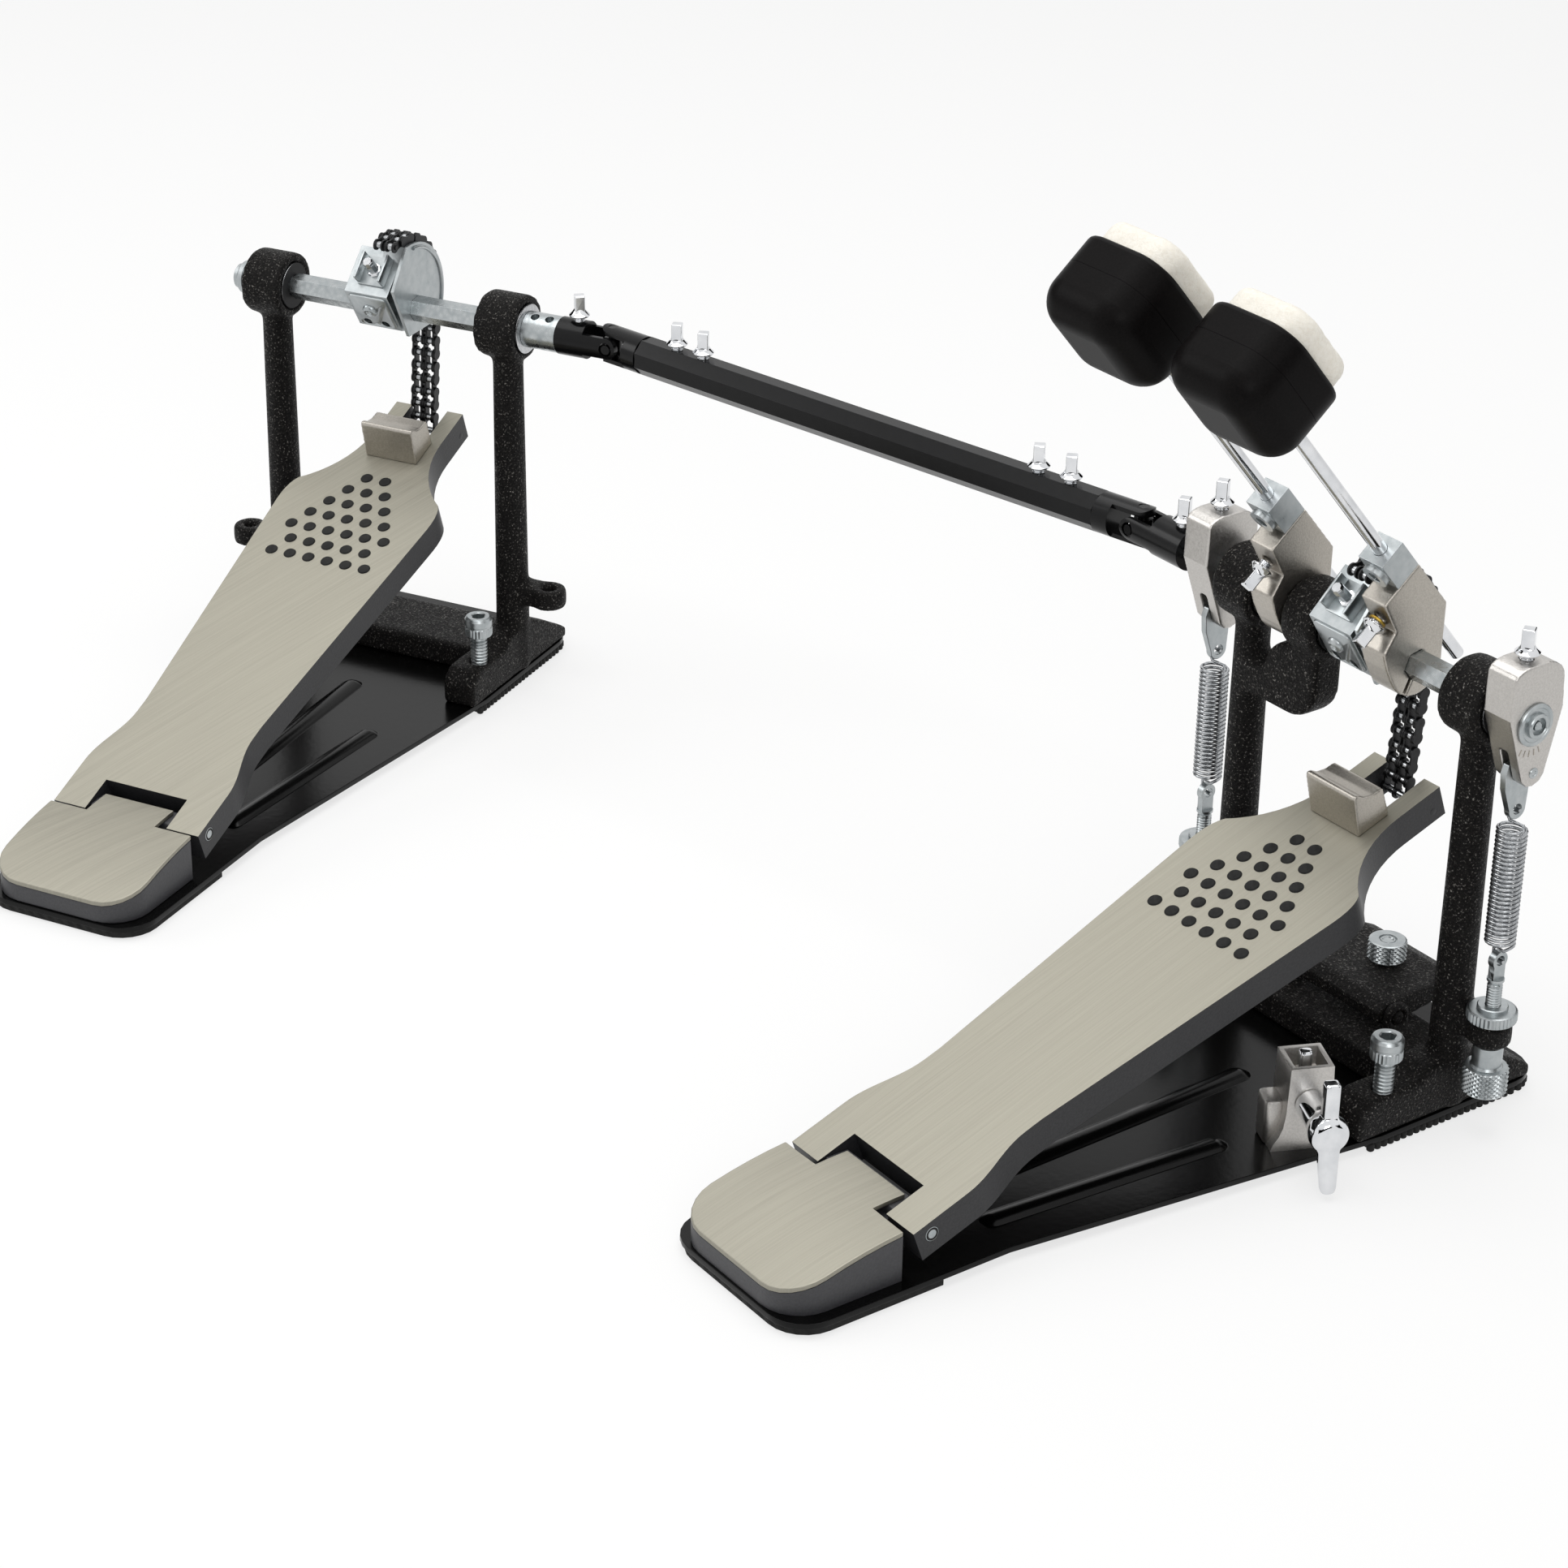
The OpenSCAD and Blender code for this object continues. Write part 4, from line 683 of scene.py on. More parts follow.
drill = turned("drill", [(0, 4), (2.1, 4), (2.1, 12), (0, 12)], steps=20)
sleeve_holes = repeated("sleeve_holes", drill, [
    SECOND @ on_bar(x) @ turn(SLEEVE_TURN, "X") for x in SLEEVE_HOLES])
for node, body, drilled in (
    ("right_axle", "right_axle_body", None),
    ("left_axle", "left_axle_body", sleeve_holes),
    ("slave_shaft", "slave_axle_body", None),
):
    bar = eased_copy(node, f"{node}_bar", 0.0004, drilled=drilled)
    if node == "right_axle":
        edit(bar, bpy.ops.mesh.bisect, plane_co=(MAIN_END + 0.0002, 0, 0), plane_no=(1, 0, 0), use_fill=True,
             clear_outer=True)
    fit(bar, body, "plated_steel", hammered, node)

# The end of the main axle: a plated bush with a raised lip and a socket, held against the cam.
bush = turned("axle_end_bush", [
    (0, 0.1), (8.6, 0.1), (8.6, 0.9), (8.2, 1.3), (7, 1.3), (6.7, 1), (5.2, 1), (5, 2.4), (4.6, 2.8),
    (3.7, 2.8), (3.4, 2.5), (3.4, 1), (2, 1), (1.8, 2), (1.4, 2.3), (0, 2.3)])
plated_part("main_axle_end", bush, "right_axle_body", on_bar(MAIN_END) @ ON_AXLE)

# The outer end of the second pedal's axle: a screw with a collar, against the bearing.
end_screw = turned("axle_end_screw", [
    (0, 9.6), (2.6, 9.6), (3, 10.2), (5, 10.2), (5.8, 9.6), (5.8, 7.2), (7.4, 6.9), (7.8, 6.4), (7.8, 4.2),
    (7.2, 3.6), (0, 3.6)])
plated_part("second_axle_end", end_screw, "left_axle_body", SECOND @ on_bar(SECOND_END) @ ON_AXLE.inverted())

# Chain wheels. Each is a folded plated bracket clamped on the hexagon, with a drum for the
# chain to roll on and a flat flange that keeps it in line.

BRACKET_X = -0.010
NOSE_X = -0.009
CHEEK_U = 0.0064
RIM_X, RIM_R = 0.0064, 0.0262
RIM_ARC = range(-20, 91, 3)
RIM_Y, RIM_Z = AXLE.y - 0.0025, AXLE.z + 0.0035


def facing(point, normal):
    """The matrix that stands a piece on a face of a chain wheel, its Z along the face's normal."""
    out = Vector(normal).normalized()
    across = Vector((1, 0, 0))
    place = Matrix((across, out.cross(across), out)).transposed().to_4x4()
    place.translation = point
    return place


def rounded_block(name, width, length, corner, low, high, easing=0.2):
    """A plate or block with rounded corners, in millimetres, that stands along Z from low to high."""
    bpy.ops.object.select_all(action="DESELECT")
    bpy.ops.mesh.primitive_cube_add(size=0.001)
    block = bpy.context.object
    block.name = name
    block.data.transform(shift(0, 0, (low + high) / 2000) @ Matrix.Diagonal((width, length, high - low, 1)))
    height = [v.co.z for v in block.data.vertices]
    edit(block, bpy.ops.mesh.bevel, "EDGE", lambda edge: height[edge.vertices[0]] != height[edge.vertices[1]],
         offset=corner / 1000, segments=8)
    if easing:
        modify(block, "BEVEL", width=easing / 1000, segments=2, limit_method="ANGLE",
               angle_limit=math.radians(40))
    smooth(block, 40)
    return block


low_face = facing((BRACKET_X, AXLE.y - 0.012, AXLE.z - 0.00025), (0, -0.8446, -0.5356))
high_face = facing((NOSE_X, AXLE.y - 0.010, AXLE.z + 0.0185), (0, -0.707, 0.707))
HOLES = [shift(u, -0.008, 0) @ Matrix.Scale(0.95, 4) for u in (-0.0052, 0.0044)]


def drills(face):
    """The tool that drills the bracket's holes, through a face."""
    drill = turned("drill", [(0, -4), (2.3, -4), (2.3, 3), (0, 3)], steps=20)
    return repeated("drills", drill, [face @ hole for hole in HOLES])


def wire(name, course, thickness):
    """A round wire along a course of points."""
    curve = bpy.data.curves.new(name, "CURVE")
    curve.dimensions, curve.use_fill_caps = "3D", True
    curve.bevel_depth, curve.bevel_resolution = thickness / 2, 2
    strand = curve.splines.new("POLY")
    strand.points.add(len(course) - 1)
    for point, place in zip(strand.points, course):
        point.co = (*place, 1)
    strung = bpy.data.objects.new(name, curve)
    scene.collection.objects.link(strung)
    alone(strung)
    bpy.ops.object.convert(target="MESH")
    smooth(bpy.context.object, 50)
    return bpy.context.object


for side, pedal in PEDALS.items():
    body = f"{side}_axle_body"
    low, high = pedal @ low_face, pedal @ high_face
    wheel = eased_copy(f"{side}_sprocket", f"{side}_chain_wheel", 0.0011, segments=3, drilled=drills(low))
    fit(wheel, body, "plated_steel", plated, f"{side}_sprocket")
    # The folded front plate of the bracket, with its button rivet.
    front = repeated(f"{side}_bracket_front", rounded_block("front", 20.6, 21.6, 2.6, -0.3, 0.8, 0.35), [low])
    combine(front, drills(low))
    fit(front, body, "plated_steel", plated)
    rivet = turned("rivet", [(0, 1.7), (1, 1.7), (1.3, 1.9), (1.6, 2.5), (2.1, 2.7), (2.9, 2.3), (3.5, 1.6),
                             (3.7, 0.8), (0, 0.8)])
    plated_part(f"{side}_bracket_rivet", rivet, body, low @ shift(-0.001, 0.001, 0))
    # The small channel that the key screw stands in.
    plated_part(f"{side}_channel", rounded_block("channel", 14, 15, 0.8, -0.2, 1.0, 0.25), body, high)
    cheek = rounded_block("cheek", 1.3, 14, 0.4, -0.2, 6.4, 0.3)
    plated_part(f"{side}_channel_cheeks", cheek, body, high @ shift(-CHEEK_U, 0, 0),
                high @ shift(CHEEK_U, 0, 0))
    # The rolled rim on the flange's face.
    rim = [Vector((RIM_X, RIM_Y + RIM_R * math.cos(a), RIM_Z + RIM_R * math.sin(a)))
           for a in map(math.radians, RIM_ARC)]
    fit(wire(f"{side}_flange_rim", [pedal @ place for place in rim], 0.0018), body, "plated_steel", plated)

# Key screws. Square-headed clamping screws with a flared collar, turned and chromed, that
# lock the wheels, hubs, cams and yokes on their bars.

CHROME_LIGHT = "#E4E5E7"
CHROME_DARK = "#CFD1D4"
HUB_X = {"right": 0.0129, "left": -0.0495}
CAM_X = {"right": 0.0735, "left": -0.094}
FORK_X = {"right": -0.1155, "left": 0.093}
ON_HUB = turn(40, "X") @ shift(0, 0.0007, 0.026) @ turn(90, "X")
ON_CAM = shift(0, 0, 0.024)
ON_FORK = shift(0, 0, 0.0088)

# Bright chrome: mirror polish with a faint film of handling marks about 8 mm across.
chrome = grained("bright chrome", CHROME_DARK, CHROME_LIGHT, 0.008, 5, rough=(0.06, 0.15), Metallic=1)


def key_screw(name, places):
    """Key screws: a square head with eased corners on a flared collar, over a threaded neck."""
    collar = [(0, -0.4), *screw_thread(2.6, 0.4, 0.8, -0.4, 2), (3.4, 2), (4.6, 2.2), (4.8, 2.5), (4.8, 2.9),
              (4.4, 3.2), (3.4, 4.3), (2.4, 5.8), (0, 5.8)]
    screw = turned(name, collar, steps=40)
    square = rounded_block("square", 4.8, 4.8, 0.5, 3.4, 12.2, 0.6)
    square.data.transform(turn(35, "Z"))
    combine(screw, square, "UNION")
    smooth(screw, 12)
    return repeated(name, screw, places)


fit(key_screw("right_axle_key_screws", [on_bar(HUB_X["right"]) @ ON_HUB, on_bar(CAM_X["right"]) @ ON_CAM]),
    "right_axle_body", "chrome", chrome, "right_axle_screws")
fit(key_screw("second_beater_key_screws", [
    on_bar(HUB_X["left"]) @ ON_HUB, on_bar(CAM_X["left"]) @ ON_CAM, on_bar(FORK_X["right"]) @ ON_FORK]),
    "slave_axle_body", "chrome", chrome, "slave_shaft_screws")
fit(key_screw("left_axle_key_screw", [SECOND @ on_bar(FORK_X["left"]) @ ON_FORK]), "left_axle_body", "chrome",
    chrome, "left_axle_screws")

# The bolt that draws each chain wheel's bracket tight on the hexagon.
for side, pedal in PEDALS.items():
    bolt = turned("bolt", [(0, 0.6), (3.7, 0.6), (3.7, 2), (3.3, 2.5), (2.6, 2.7), (2.5, 3.2), (2.5, 10),
                           (2, 10.8), (0, 10.8)], steps=8)
    fit(repeated(f"{side}_wheel_bolt", bolt, [pedal @ high_face]), f"{side}_axle_body", "chrome", chrome)

# Chains. Double-strand roller chain of 6.35 mm pitch: blackened steel plates riveted on
# pins, with bright rollers between them. It hangs from the board and wraps the chain wheel.

CHAIN_X = -0.0019
ROLLERS = ((0.0016, 0.0043), (0.00645, 0.0085))
CHAIN_BLACK = "#1B1B1C"
CHAIN_OILED = "#2A2A2B"
ROLLER_LIGHT = "#B9BBBD"
ROLLER_DARK = "#8E9092"

# Blackened chain steel: dark, oily, with small worn patches of about 2 mm.
blackened = grained("blackened chain steel", CHAIN_BLACK, CHAIN_OILED, 0.002, 4, rough=(0.28, 0.44),
                    Metallic=0.7)

# Bright roller steel: polished by running, with fine marks of about 1 mm.
roller_steel = grained("bright roller steel", ROLLER_DARK, ROLLER_LIGHT, 0.001, 3, rough=(0.16, 0.3),
                       Metallic=1)

for side, pedal in PEDALS.items():
    back = pedal.inverted()
    for part, body in (("run", f"{side}_chain"), ("link_1", f"{side}_chain_a"), ("link_2", f"{side}_chain_b"),
                       ("wrap", f"{side}_axle_body")):
        links = eased_copy(f"{side}_chain_{part}", f"{side}_chain_{part}_riveted", 0.00015, segments=1)
        fit(links, body, "chain_steel", blackened, f"{side}_chain_{part}")
        links.data.materials.append(roller_steel)
        for face in links.data.polygons:
            across = abs((back @ face.center).x - CHAIN_X)
            face.material_index = 1 if any(near < across < far for near, far in ROLLERS) else 0

# Beater hubs. Zinc castings clamped on the hexagon bars by a key screw; each carries the
# holder that grips a beater rod.

BRASS = "#C9A94F"
BRASS_DARK = "#A58438"
BEATER_BODY = {"right": "right_axle_body", "left": "slave_axle_body"}

for side, body in BEATER_BODY.items():
    fit(cast_copy(f"{side}_beater_hub", f"{side}_hub_casting", ZINC_GRID, 5), body, "cast_zinc", zinc,
        f"{side}_beater_hub")
    fit(eased_copy(f"{side}_rod_holder", f"{side}_rod_grip", 0.0008, segments=3), body, "plated_steel",
        plated, f"{side}_rod_holder")

# Passivated brass: warm yellow with faint cloudy stains about 3 mm across, on a small collar round
# the neck of the main hub's clamping screw.
brass = grained("passivated brass", BRASS_DARK, BRASS, 0.003, 3, Metallic=1, Roughness=0.3)

washer = turned("washer", [(2.7, 0), (3.4, 0), (3.6, 0.2), (3.6, 0.9), (3.4, 1.1), (2.7, 1.1), (2.7, 0)],
                steps=40)
fit(repeated("hub_washer", washer, [on_bar(HUB_X["right"]) @ ON_HUB]), "right_axle_body", "plated_steel",
    brass)

# Beaters. A chromed steel rod carries a black moulded shell with a thick pad of pressed wool
# felt on its striking face. The rod slides in its holder to set the height.

REACH = {"right": 0.159, "left": 0.169}
HEAD_W = 46.4
HEAD_R = 13.5
SHELL_T = 34.4
SHELL_BACK = 2.8
SHELL_RIM = SHELL_T - SHELL_BACK
FELT_T = 11
FELT_IN = 3.6
FELT_GRID = 0.0011
BACK_ROUND, RIM_ROUND, FELT_ROUND = 12.6, 2.2, 4.6
SEAM_BELOW = 13
LEAN = 40
PLASTIC_BLACK = "#0A0909"
PLASTIC_SHEEN = "#100E0E"
WOOL_LIGHT = "#F4F0E6"
WOOL_SHADE = "#E8E1D3"

for side in PEDALS:
    fit(eased_copy(f"{side}_beater_rod", f"{side}_rod", 0.0006), f"{side}_beater", "chrome", chrome,
        f"{side}_beater_rod")

# Moulded ABS: satin black with a very fine spark-eroded grain, drawn at 0.9 mm so that it shows.
plastic = grained("moulded ABS", PLASTIC_BLACK, PLASTIC_SHEEN, 0.0009, 2, relief=(0.14, 0.0001),
                  Roughness=0.4, Specular_IOR_Level=0.05)

# Pressed wool felt: warm white, matted fibres in tufts of about 1.6 mm, with a soft sheen.
wool = grained("pressed wool felt", WOOL_SHADE, WOOL_LIGHT, 0.0016, 6, relief=(0.7, 0.0006),
               spread=(0.25, 0.6), noise={"Roughness": 0.7, "Distortion": 0.6}, Roughness=1.0,
               Specular_IOR_Level=0.1, Sheen_Weight=0.25, Sheen_Roughness=0.6)


def ease_rim(block, level, easing, segments):
    """Rounds the rim of a block at one height, in millimetres."""
    on_level = [abs(v.co.z - level / 1000) < 1e-5 for v in block.data.vertices]
    edit(block, bpy.ops.mesh.bevel, "EDGE", lambda edge: all(on_level[i] for i in edge.vertices),
         offset=easing / 1000, segments=segments)


def groove(block, level, half, depth):
    """Cuts a thin seam round a block at one height, in millimetres."""
    for edge in (level - half, level + half):
        edit(block, bpy.ops.mesh.bisect, plane_co=(0, 0, edge / 1000), plane_no=(0, 0, 1))
    edit(block, bpy.ops.mesh.extrude_region_shrink_fatten, "FACE",
         lambda face: abs(face.center.z - level / 1000) < half / 1000 and abs(face.normal.z) < 0.5,
         TRANSFORM_OT_shrink_fatten={"value": -depth / 1000})


def stand(piece, matrix):
    """Puts a piece in its place and leaves its object at the origin."""
    piece.data.transform(matrix)
    edit(piece, bpy.ops.mesh.normals_make_consistent, inside=False)


for side in PEDALS:
    head_at = on_bar(HUB_X[side]) @ turn(LEAN, "X") @ shift(0, 0, REACH[side]) @ turn(-90, "X")
    shell = rounded_block(f"{side}_head_shell", HEAD_W, HEAD_W, HEAD_R, -SHELL_BACK, SHELL_RIM, 0)
    ease_rim(shell, -SHELL_BACK, BACK_ROUND, 12)
    ease_rim(shell, SHELL_RIM, RIM_ROUND, 4)
    groove(shell, SHELL_RIM - SEAM_BELOW, 0.12, 0.15)
    stand(shell, head_at)
    smooth(shell, 40)
    fit(shell, f"{side}_beater", "black_plastic", plastic, f"{side}_beater_shell")
    pad = rounded_block(f"{side}_felt_pad", HEAD_W - 2 * FELT_IN, HEAD_W - 2 * FELT_IN, HEAD_R - FELT_IN,
                        SHELL_RIM - 1, SHELL_RIM + FELT_T, 0)
    ease_rim(pad, SHELL_RIM + FELT_T, FELT_ROUND, 7)
    stand(pad, head_at)
    reskin(pad, FELT_GRID, 5)
    matting = bpy.data.textures.new(f"{side}_matting", "CLOUDS")
    matting.noise_scale = 0.004
    modify(pad, "DISPLACE", texture=matting, texture_coords="LOCAL", strength=0.0006, mid_level=0.5)
    alone(pad)
    bpy.ops.object.shade_smooth()
    fit(pad, f"{side}_beater", "felt", wool, f"{side}_beater_felt")

# Spring cams. Zinc castings on the outer ends of the axles; a plated link hangs from a pin
# in each and takes the hook of the return spring.

TICKS = range(-120, -71, 12)
TICK_R = 0.0118
LUG_Y = 0.2413
PIN_Z = 0.1592
# A lighter copy of the die-cast zinc's colours: painted light.
PAINTED_LIT_ZINC_LIGHT = "#C7C4C0"
PAINTED_LIT_ZINC_DARK = "#B3B0AC"

# The cams and the clamp block take a lighter copy of the die-cast zinc than the hubs: painted light, for the
# brighter light that falls on them.
painted_lit_zinc = cast_zinc("die-cast zinc with painted light", PAINTED_LIT_ZINC_DARK, PAINTED_LIT_ZINC_LIGHT)

for side, body in BEATER_BODY.items():
    fit(cast_copy(f"{side}_cam", f"{side}_cam_casting", ZINC_GRID, 8), body, "cast_zinc", painted_lit_zinc,
        f"{side}_cam")
    fit(eased_copy(f"{side}_link", f"{side}_link_blade", 0.0005), f"{side}_cam_link", "plated_steel", plated,
        f"{side}_link")

pin_head = turned("pin_head", [
    (0, 0.2), (0.9, 0.2), (1.1, 0.5), (1.9, 0.5), (2.2, 0.2), (2.2, -0.3), (0, -0.3)], steps=24)
plated_part("cam_pin_head", pin_head, "right_axle_body", shift(MAIN_END, LUG_Y, PIN_Z) @ ON_AXLE)
tick = rounded_block("tick", 0.4, 2.6, 0.12, -0.2, 0.15, 0)
scale_marks = repeated("cam_scale_marks", tick, [
    on_bar(MAIN_END) @ ON_AXLE @ turn(a, "Z") @ shift(0, TICK_R, 0) for a in TICKS])
fit(scale_marks, "right_axle_body", "cast_zinc", zinc)

# Return springs. Extension springs wound from 1.35 mm steel wire, a little stretched at rest,
# with a hook at each end: one on the cam's link and one in the eye bolt below.

WIRE_D = 0.00135
COIL_R = 0.005425
COIL_LOW = 0.08375
COIL_HIGH = 0.1337
COIL_TURNS = 27
TURN_STEPS = 16
EYE_Z = 0.07655
HOOK_Z = 0.1417
HOOK_OUT = 0.002525
WIRE_LIGHT = "#BFC1C3"
WIRE_DARK = "#8C8F92"

# Spring wire: drawn and zinc plated, bright with faint marks of about 1.5 mm.
spring_wire = grained("drawn spring wire", WIRE_DARK, WIRE_LIGHT, 0.0015, 3, Metallic=1, Roughness=0.24)

for side, cam_x in CAM_X.items():
    course = [(HOOK_OUT + 0.0002, 0, EYE_Z), (-HOOK_OUT + 0.0006, 0, EYE_Z), (-HOOK_OUT, 0, EYE_Z + 0.0007),
              (-HOOK_OUT, 0, EYE_Z + 0.0041), (-HOOK_OUT + 0.0009, 0, COIL_LOW - 0.0021),
              (COIL_R - 0.0016, -0.0016, COIL_LOW - 0.0015)]
    for i in range(TURN_STEPS * COIL_TURNS + 1):
        a = math.tau * i / TURN_STEPS
        course.append((COIL_R * math.cos(a), COIL_R * math.sin(a),
                       COIL_LOW + (COIL_HIGH - COIL_LOW) * i / (TURN_STEPS * COIL_TURNS)))
    course += [(COIL_R - 0.0016, 0.0016, COIL_HIGH + 0.0015), (-HOOK_OUT + 0.0009, 0, COIL_HIGH + 0.0021),
               (-HOOK_OUT, 0, HOOK_Z - 0.0046), (-HOOK_OUT, 0, HOOK_Z - 0.0007),
               (-HOOK_OUT + 0.0006, 0, HOOK_Z), (HOOK_OUT + 0.0002, 0, HOOK_Z)]
    spring = wire(f"{side}_coil_spring", [(cam_x + x, LUG_Y + y, z) for x, y, z in course], WIRE_D)
    spring.data.materials.clear()
    spring.data.materials.append(spring_wire)
    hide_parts(f"{side}_spring")
    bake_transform(spring)

# Spring tension. An eye bolt under each spring runs through a lug of the frame, with a
# knurled nut above and below that sets the pull.

EYE_NECK = 67.55
LUG_Z = 50
NUT_Z = 18.7
BOLTS = [shift(x, LUG_Y, 0) for x in CAM_X.values()]

eyes = eased_copy("spring_eye_bolts", "tension_eyes", 0.0005)
edit(eyes, bpy.ops.mesh.bisect, plane_co=(0, 0, EYE_NECK / 1000 - 0.0003), plane_no=(0, 0, 1), use_fill=True,
     clear_inner=True)
fit(eyes, "base", "plated_steel", plated, "spring_eye_bolts")
rod = turned("tension_rod", [
    (0, NUT_Z + 1), *screw_thread(3, 0.42, 1.15, NUT_Z + 1.2, EYE_NECK - 1.5), (2.6, EYE_NECK - 1.2),
    (3.4, EYE_NECK), (3.4, EYE_NECK + 1), (0, EYE_NECK + 1)], steps=32)
plated_part("tension_rods", rod, "base", *BOLTS)

top_nut = turned("top_nut", [
    (3.1, LUG_Z + 6.8), (5.6, LUG_Z + 6.8), (6, LUG_Z + 6.5), (6, LUG_Z + 5.2), (8.8, LUG_Z + 5.2),
    (9.5, LUG_Z + 4.9), (9.8, LUG_Z + 4.5), (9.8, LUG_Z + 1.2), (9.5, LUG_Z + 0.8), (8, LUG_Z + 0.3),
    (3.1, LUG_Z + 0.3)], steps=72)
knurl(top_nut, 9.8, LUG_Z + 1.1, LUG_Z + 4.6, 0.5)
fit(repeated("tension_top_nuts", top_nut, BOLTS), "base", "plated_steel", plated, "spring_nuts")
low_nut = turned("low_nut", [
    (3.1, LUG_Z - 10.3), (5.5, LUG_Z - 10.3), (5.9, LUG_Z - 10.7), (5.9, NUT_Z + 12.2), (6.4, NUT_Z + 11.2),
    (8.2, NUT_Z + 11), *((9, NUT_Z + 10.4 - 0.98 * i) for i in range(11)), (8.2, NUT_Z), (3.1, NUT_Z)],
                 steps=48)
knurl(low_nut, 9, NUT_Z + 0.5, NUT_Z + 10.5, 0.6, crossed=True)
plated_part("tension_low_nuts", low_nut, "base", *BOLTS)

# Drive shaft. A satin black tube with a universal joint at each end carries the stroke of
# the second pedal to the second beater; forks, crosses and tube are clamped by key screws.

TUBE_BLACK = "#060607"
TUBE_SOFT = "#0B0B0C"
ON_SHAFT = shift(-0.433807, 0.173171, 0.180) @ turn(12.6288, "Z")
SCREWS_ALONG = (0.0398, 0.0558, 0.24629, 0.26329)

# Satin black lacquer on steel: smooth, with a faint ripple of about 4 mm.
lacquer = grained("satin black lacquer", TUBE_BLACK, TUBE_SOFT, 0.004, 3, relief=(0.08, 0.0002),
                  Roughness=0.22, Specular_IOR_Level=0.2)

for node, name, easing, body in (
    ("drive_tube", "shaft_tube", 0.0004, "drive_shaft"),
    ("drive_yokes", "shaft_forks", 0.0006, "drive_shaft"),
    ("left_yoke", "second_pedal_fork", 0.0006, "left_axle_body"),
    ("slave_yoke", "second_beater_fork", 0.0006, "slave_axle_body"),
    ("joint_crosses", "joint_spiders", 0.0003, "drive_shaft"),
):
    fit(eased_copy(node, name, easing), body, "satin_black_tube", lacquer, node)

fit(key_screw("shaft_key_screws", [ON_SHAFT @ shift(along, 0, 0.0082) for along in SCREWS_ALONG]),
    "drive_shaft", "chrome", chrome, "drive_screws")

# Hoop clamp. A cast jaw presses the drum's hoop against the base plate; a zinc block with a
# chromed wing bolt draws it down, and a knurled knob on top sets its height.

JAW_GRID = 0.0008
KNOB_AT = shift(-0.007, 0.265, 0.0313)
BLOCK_AT = shift(0.0444, 0.1736, 0) @ turn(-24.6, "Z")
BLOCK_BASE = 5.8
POCKET_WALL = 0.0019
POCKET_DEPTH = 0.008
BOLT_Z = 26.5
WING_OUT = 0.0302
WING_GRID = 0.00045

fit(cast_copy("hoop_jaw", "clamp_jaw", JAW_GRID, 8), "hoop_jaw_body", "black_powder_coat", powder, "hoop_jaw")

knob = turned("jaw_knob", [
    (0, 8.2), (2, 8.2), (2.3, 8.6), (2.9, 8.6), (3.1, 8.2), (3.5, 8.2), (3.7, 8.9), (7, 8.9), (7.6, 8.6),
    *((8, 8 - i) for i in range(8)), (7.5, 0.5), (5, 0), (5, -0.4), (3, -0.5), (3, -9), (0, -9)], steps=42)
knurl(knob, 8, 0.9, 8.1, 0.6, crossed=True)
fit(repeated("jaw_knob_knurled", knob, [KNOB_AT]), "jaw_knob", "plated_steel", plated, "clamp_knob")

# The block: a flared foot, an upright body with a pocket in its top and a lower wing at the back.
bpy.ops.object.select_all(action="DESELECT")
bpy.ops.mesh.primitive_cube_add(size=0.001)
block = bpy.context.object
block.name = "clamp_base_block"
block.data.transform(shift(0, 0, BLOCK_BASE / 1000) @ Matrix.Diagonal((17.6, 29, 0.01, 1)))
for height, width in ((3, 27), (3, 23), (4, 20), (6, 18.4), (14, 17.4), (5.99, 17)):
    top = max(block.data.polygons, key=lambda face: face.center.z).index
    narrow = width / 1000 / (max(block.data.vertices[i].co.y for i in block.data.polygons[top].vertices) * 2)
    edit(block, bpy.ops.mesh.extrude_region_move, "FACE", lambda face: face.index == top,
         TRANSFORM_OT_translate={"value": (0, 0, height / 1000)})
    bpy.ops.object.mode_set(mode="EDIT")
    bpy.ops.transform.resize(value=(1, narrow, 1), center_override=(0, 0, 0))
    bpy.ops.object.mode_set(mode="OBJECT")
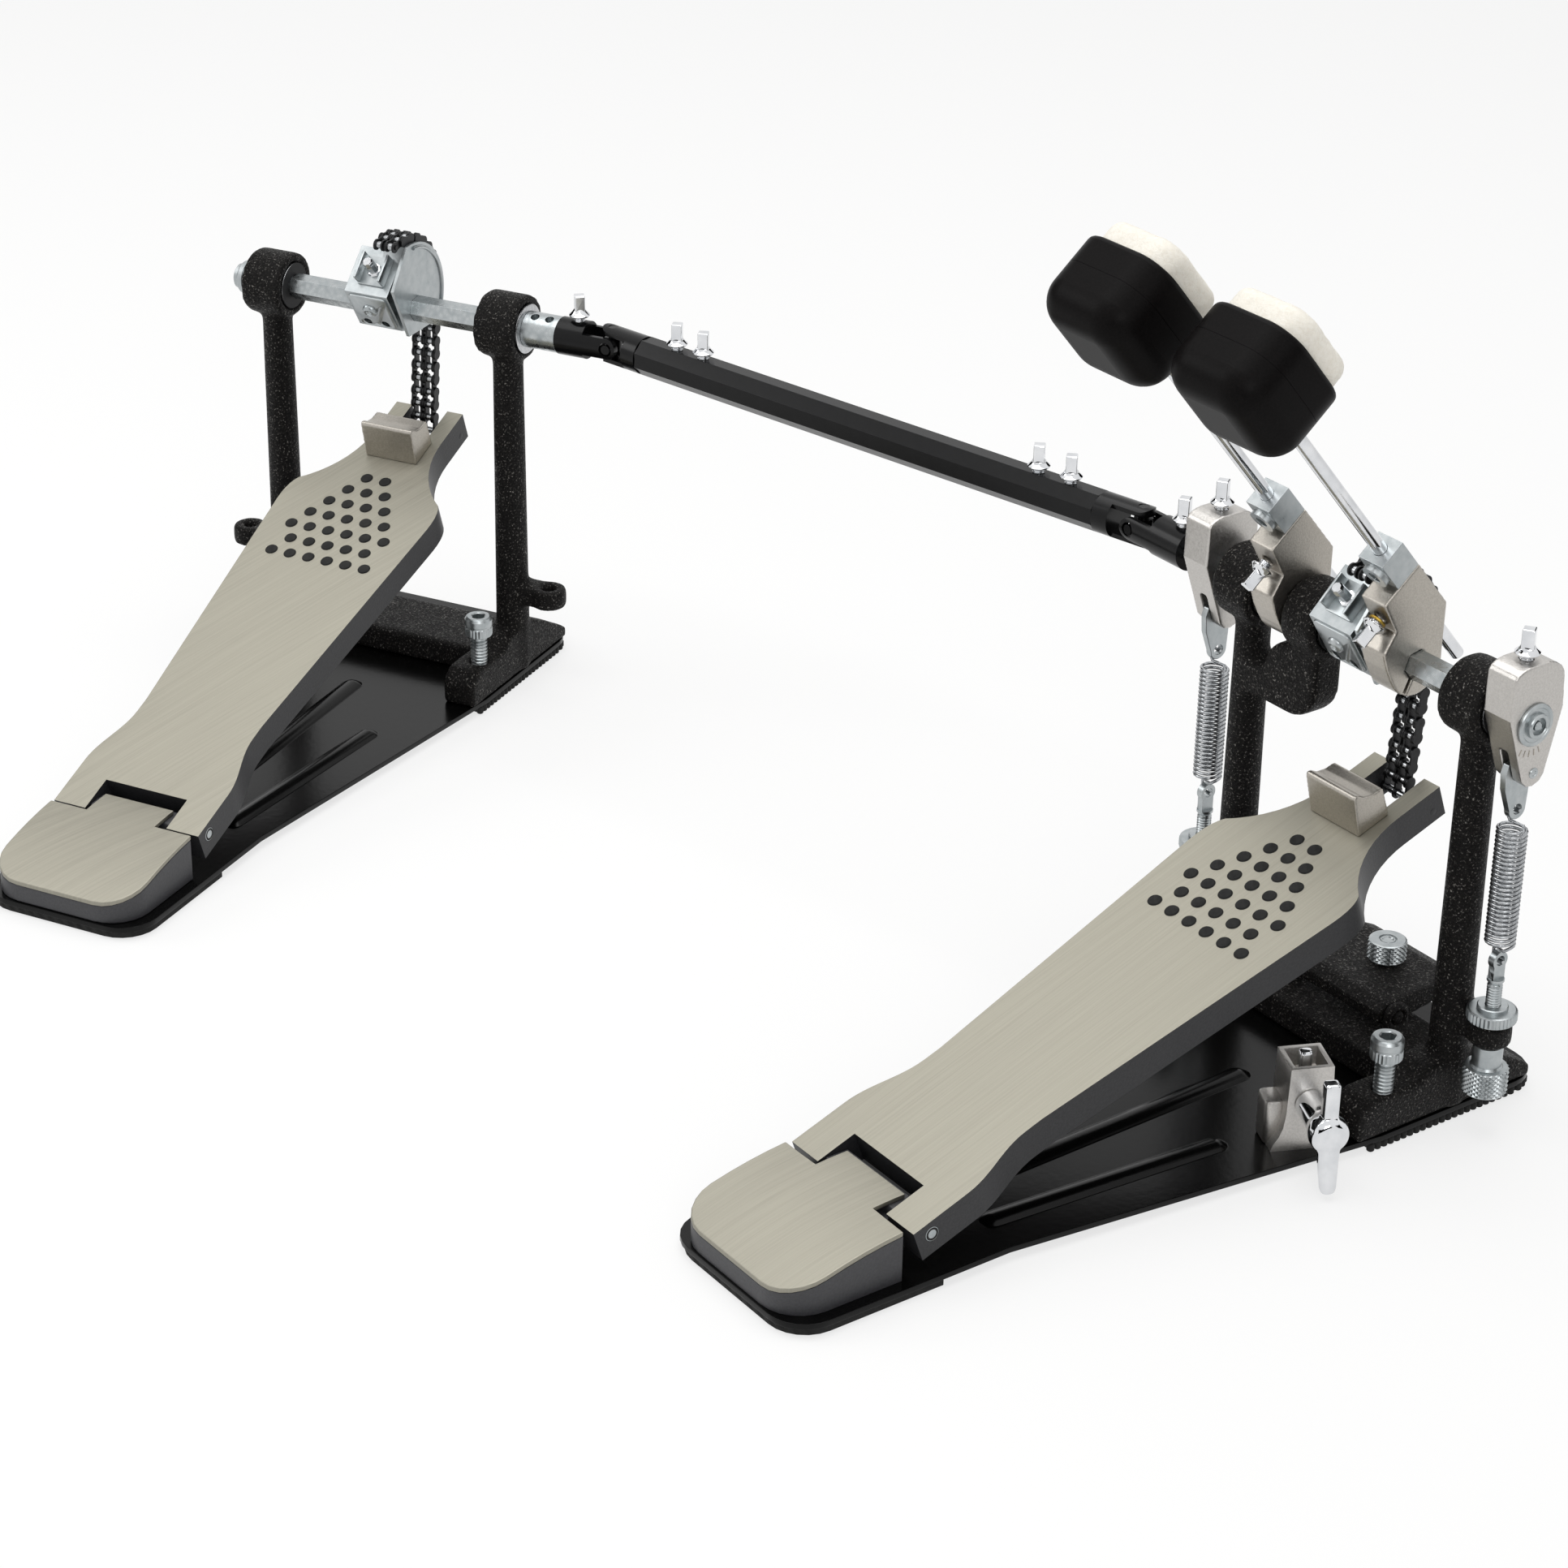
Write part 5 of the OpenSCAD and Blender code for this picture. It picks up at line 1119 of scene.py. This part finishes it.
# The top face is still selected: its middle is sunk to make the pocket.
bpy.ops.object.mode_set(mode="EDIT")
bpy.ops.mesh.inset(thickness=POCKET_WALL)
bpy.ops.mesh.extrude_region_move(TRANSFORM_OT_translate={"value": (0, 0, -POCKET_DEPTH)})
bpy.ops.object.mode_set(mode="OBJECT")
modify(block, "BEVEL", width=0.0009, segments=3, limit_method="ANGLE", angle_limit=math.radians(25))
placed_block = repeated("clamp_base_block", block, [BLOCK_AT])
smooth(placed_block, 40)
# The block and its rear wing take the lighter copy of the zinc: painted light.
fit(placed_block, "base", "cast_zinc", painted_lit_zinc, "clamp_block")
rear_wing = rounded_block("rear_wing", 12, 8, 2.4, BLOCK_BASE, 25, 1.4)
fit(repeated("clamp_block_wing", rear_wing, [BLOCK_AT @ shift(-0.002, -0.0118, 0)]), "base", "cast_zinc",
    painted_lit_zinc)
catch = rounded_block("catch", 4.6, 5.4, 1.8, 33, 44.4, 1.4)
fit(repeated("clamp_block_catch", catch, [BLOCK_AT @ shift(-0.001, 0, 0)]), "base", "chrome", chrome)

# The wing bolt: a barrel, a ball and two wings, cast in one and chromed.
barrel = turned("wing_barrel", [
    (0, -12), (3, -12), (3, 8.6), (5.8, 8.8), (6.3, 9.4), (6.3, 24), (6.6, 25.5), (7.6, 28), (8, 30.6),
    (7.4, 33.4), (5.6, 35), (3, 35.5), (0, 35.5)], steps=40)
barrel.data.transform(turn(90, "Y"))
upper = rounded_block("wing_upper", 5.6, 6.2, 1.2, 3, 22, 0.8)
upper.data.transform(shift(WING_OUT, 0, 0))
lower = rounded_block("wing_lower", 6.4, 7.4, 2.8, -24.2, -3, 2.4)
# The lower wing is stout at the ball, tapers to its tip and leans outwards.
for v in lower.data.vertices:
    taper = 1.25 - 0.45 * min(1, abs(v.co.z) / 0.02)
    v.co.x, v.co.y = v.co.x * taper + 0.2 * abs(v.co.z), v.co.y * taper * 1.1
lower.data.transform(shift(WING_OUT, 0, 0))
bpy.ops.object.select_all(action="DESELECT")
for part in (upper, lower, barrel):
    part.select_set(True)
bpy.context.view_layer.objects.active = barrel
bpy.ops.object.join()
reskin(barrel, WING_GRID, 10)
wing = repeated("clamp_wing_bolt", barrel, [BLOCK_AT @ shift(0, 0, BOLT_Z / 1000)])
bpy.ops.object.shade_smooth()
fit(wing, "wing_bolt_body", "chrome", chrome, "wing_bolt")

low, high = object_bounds()
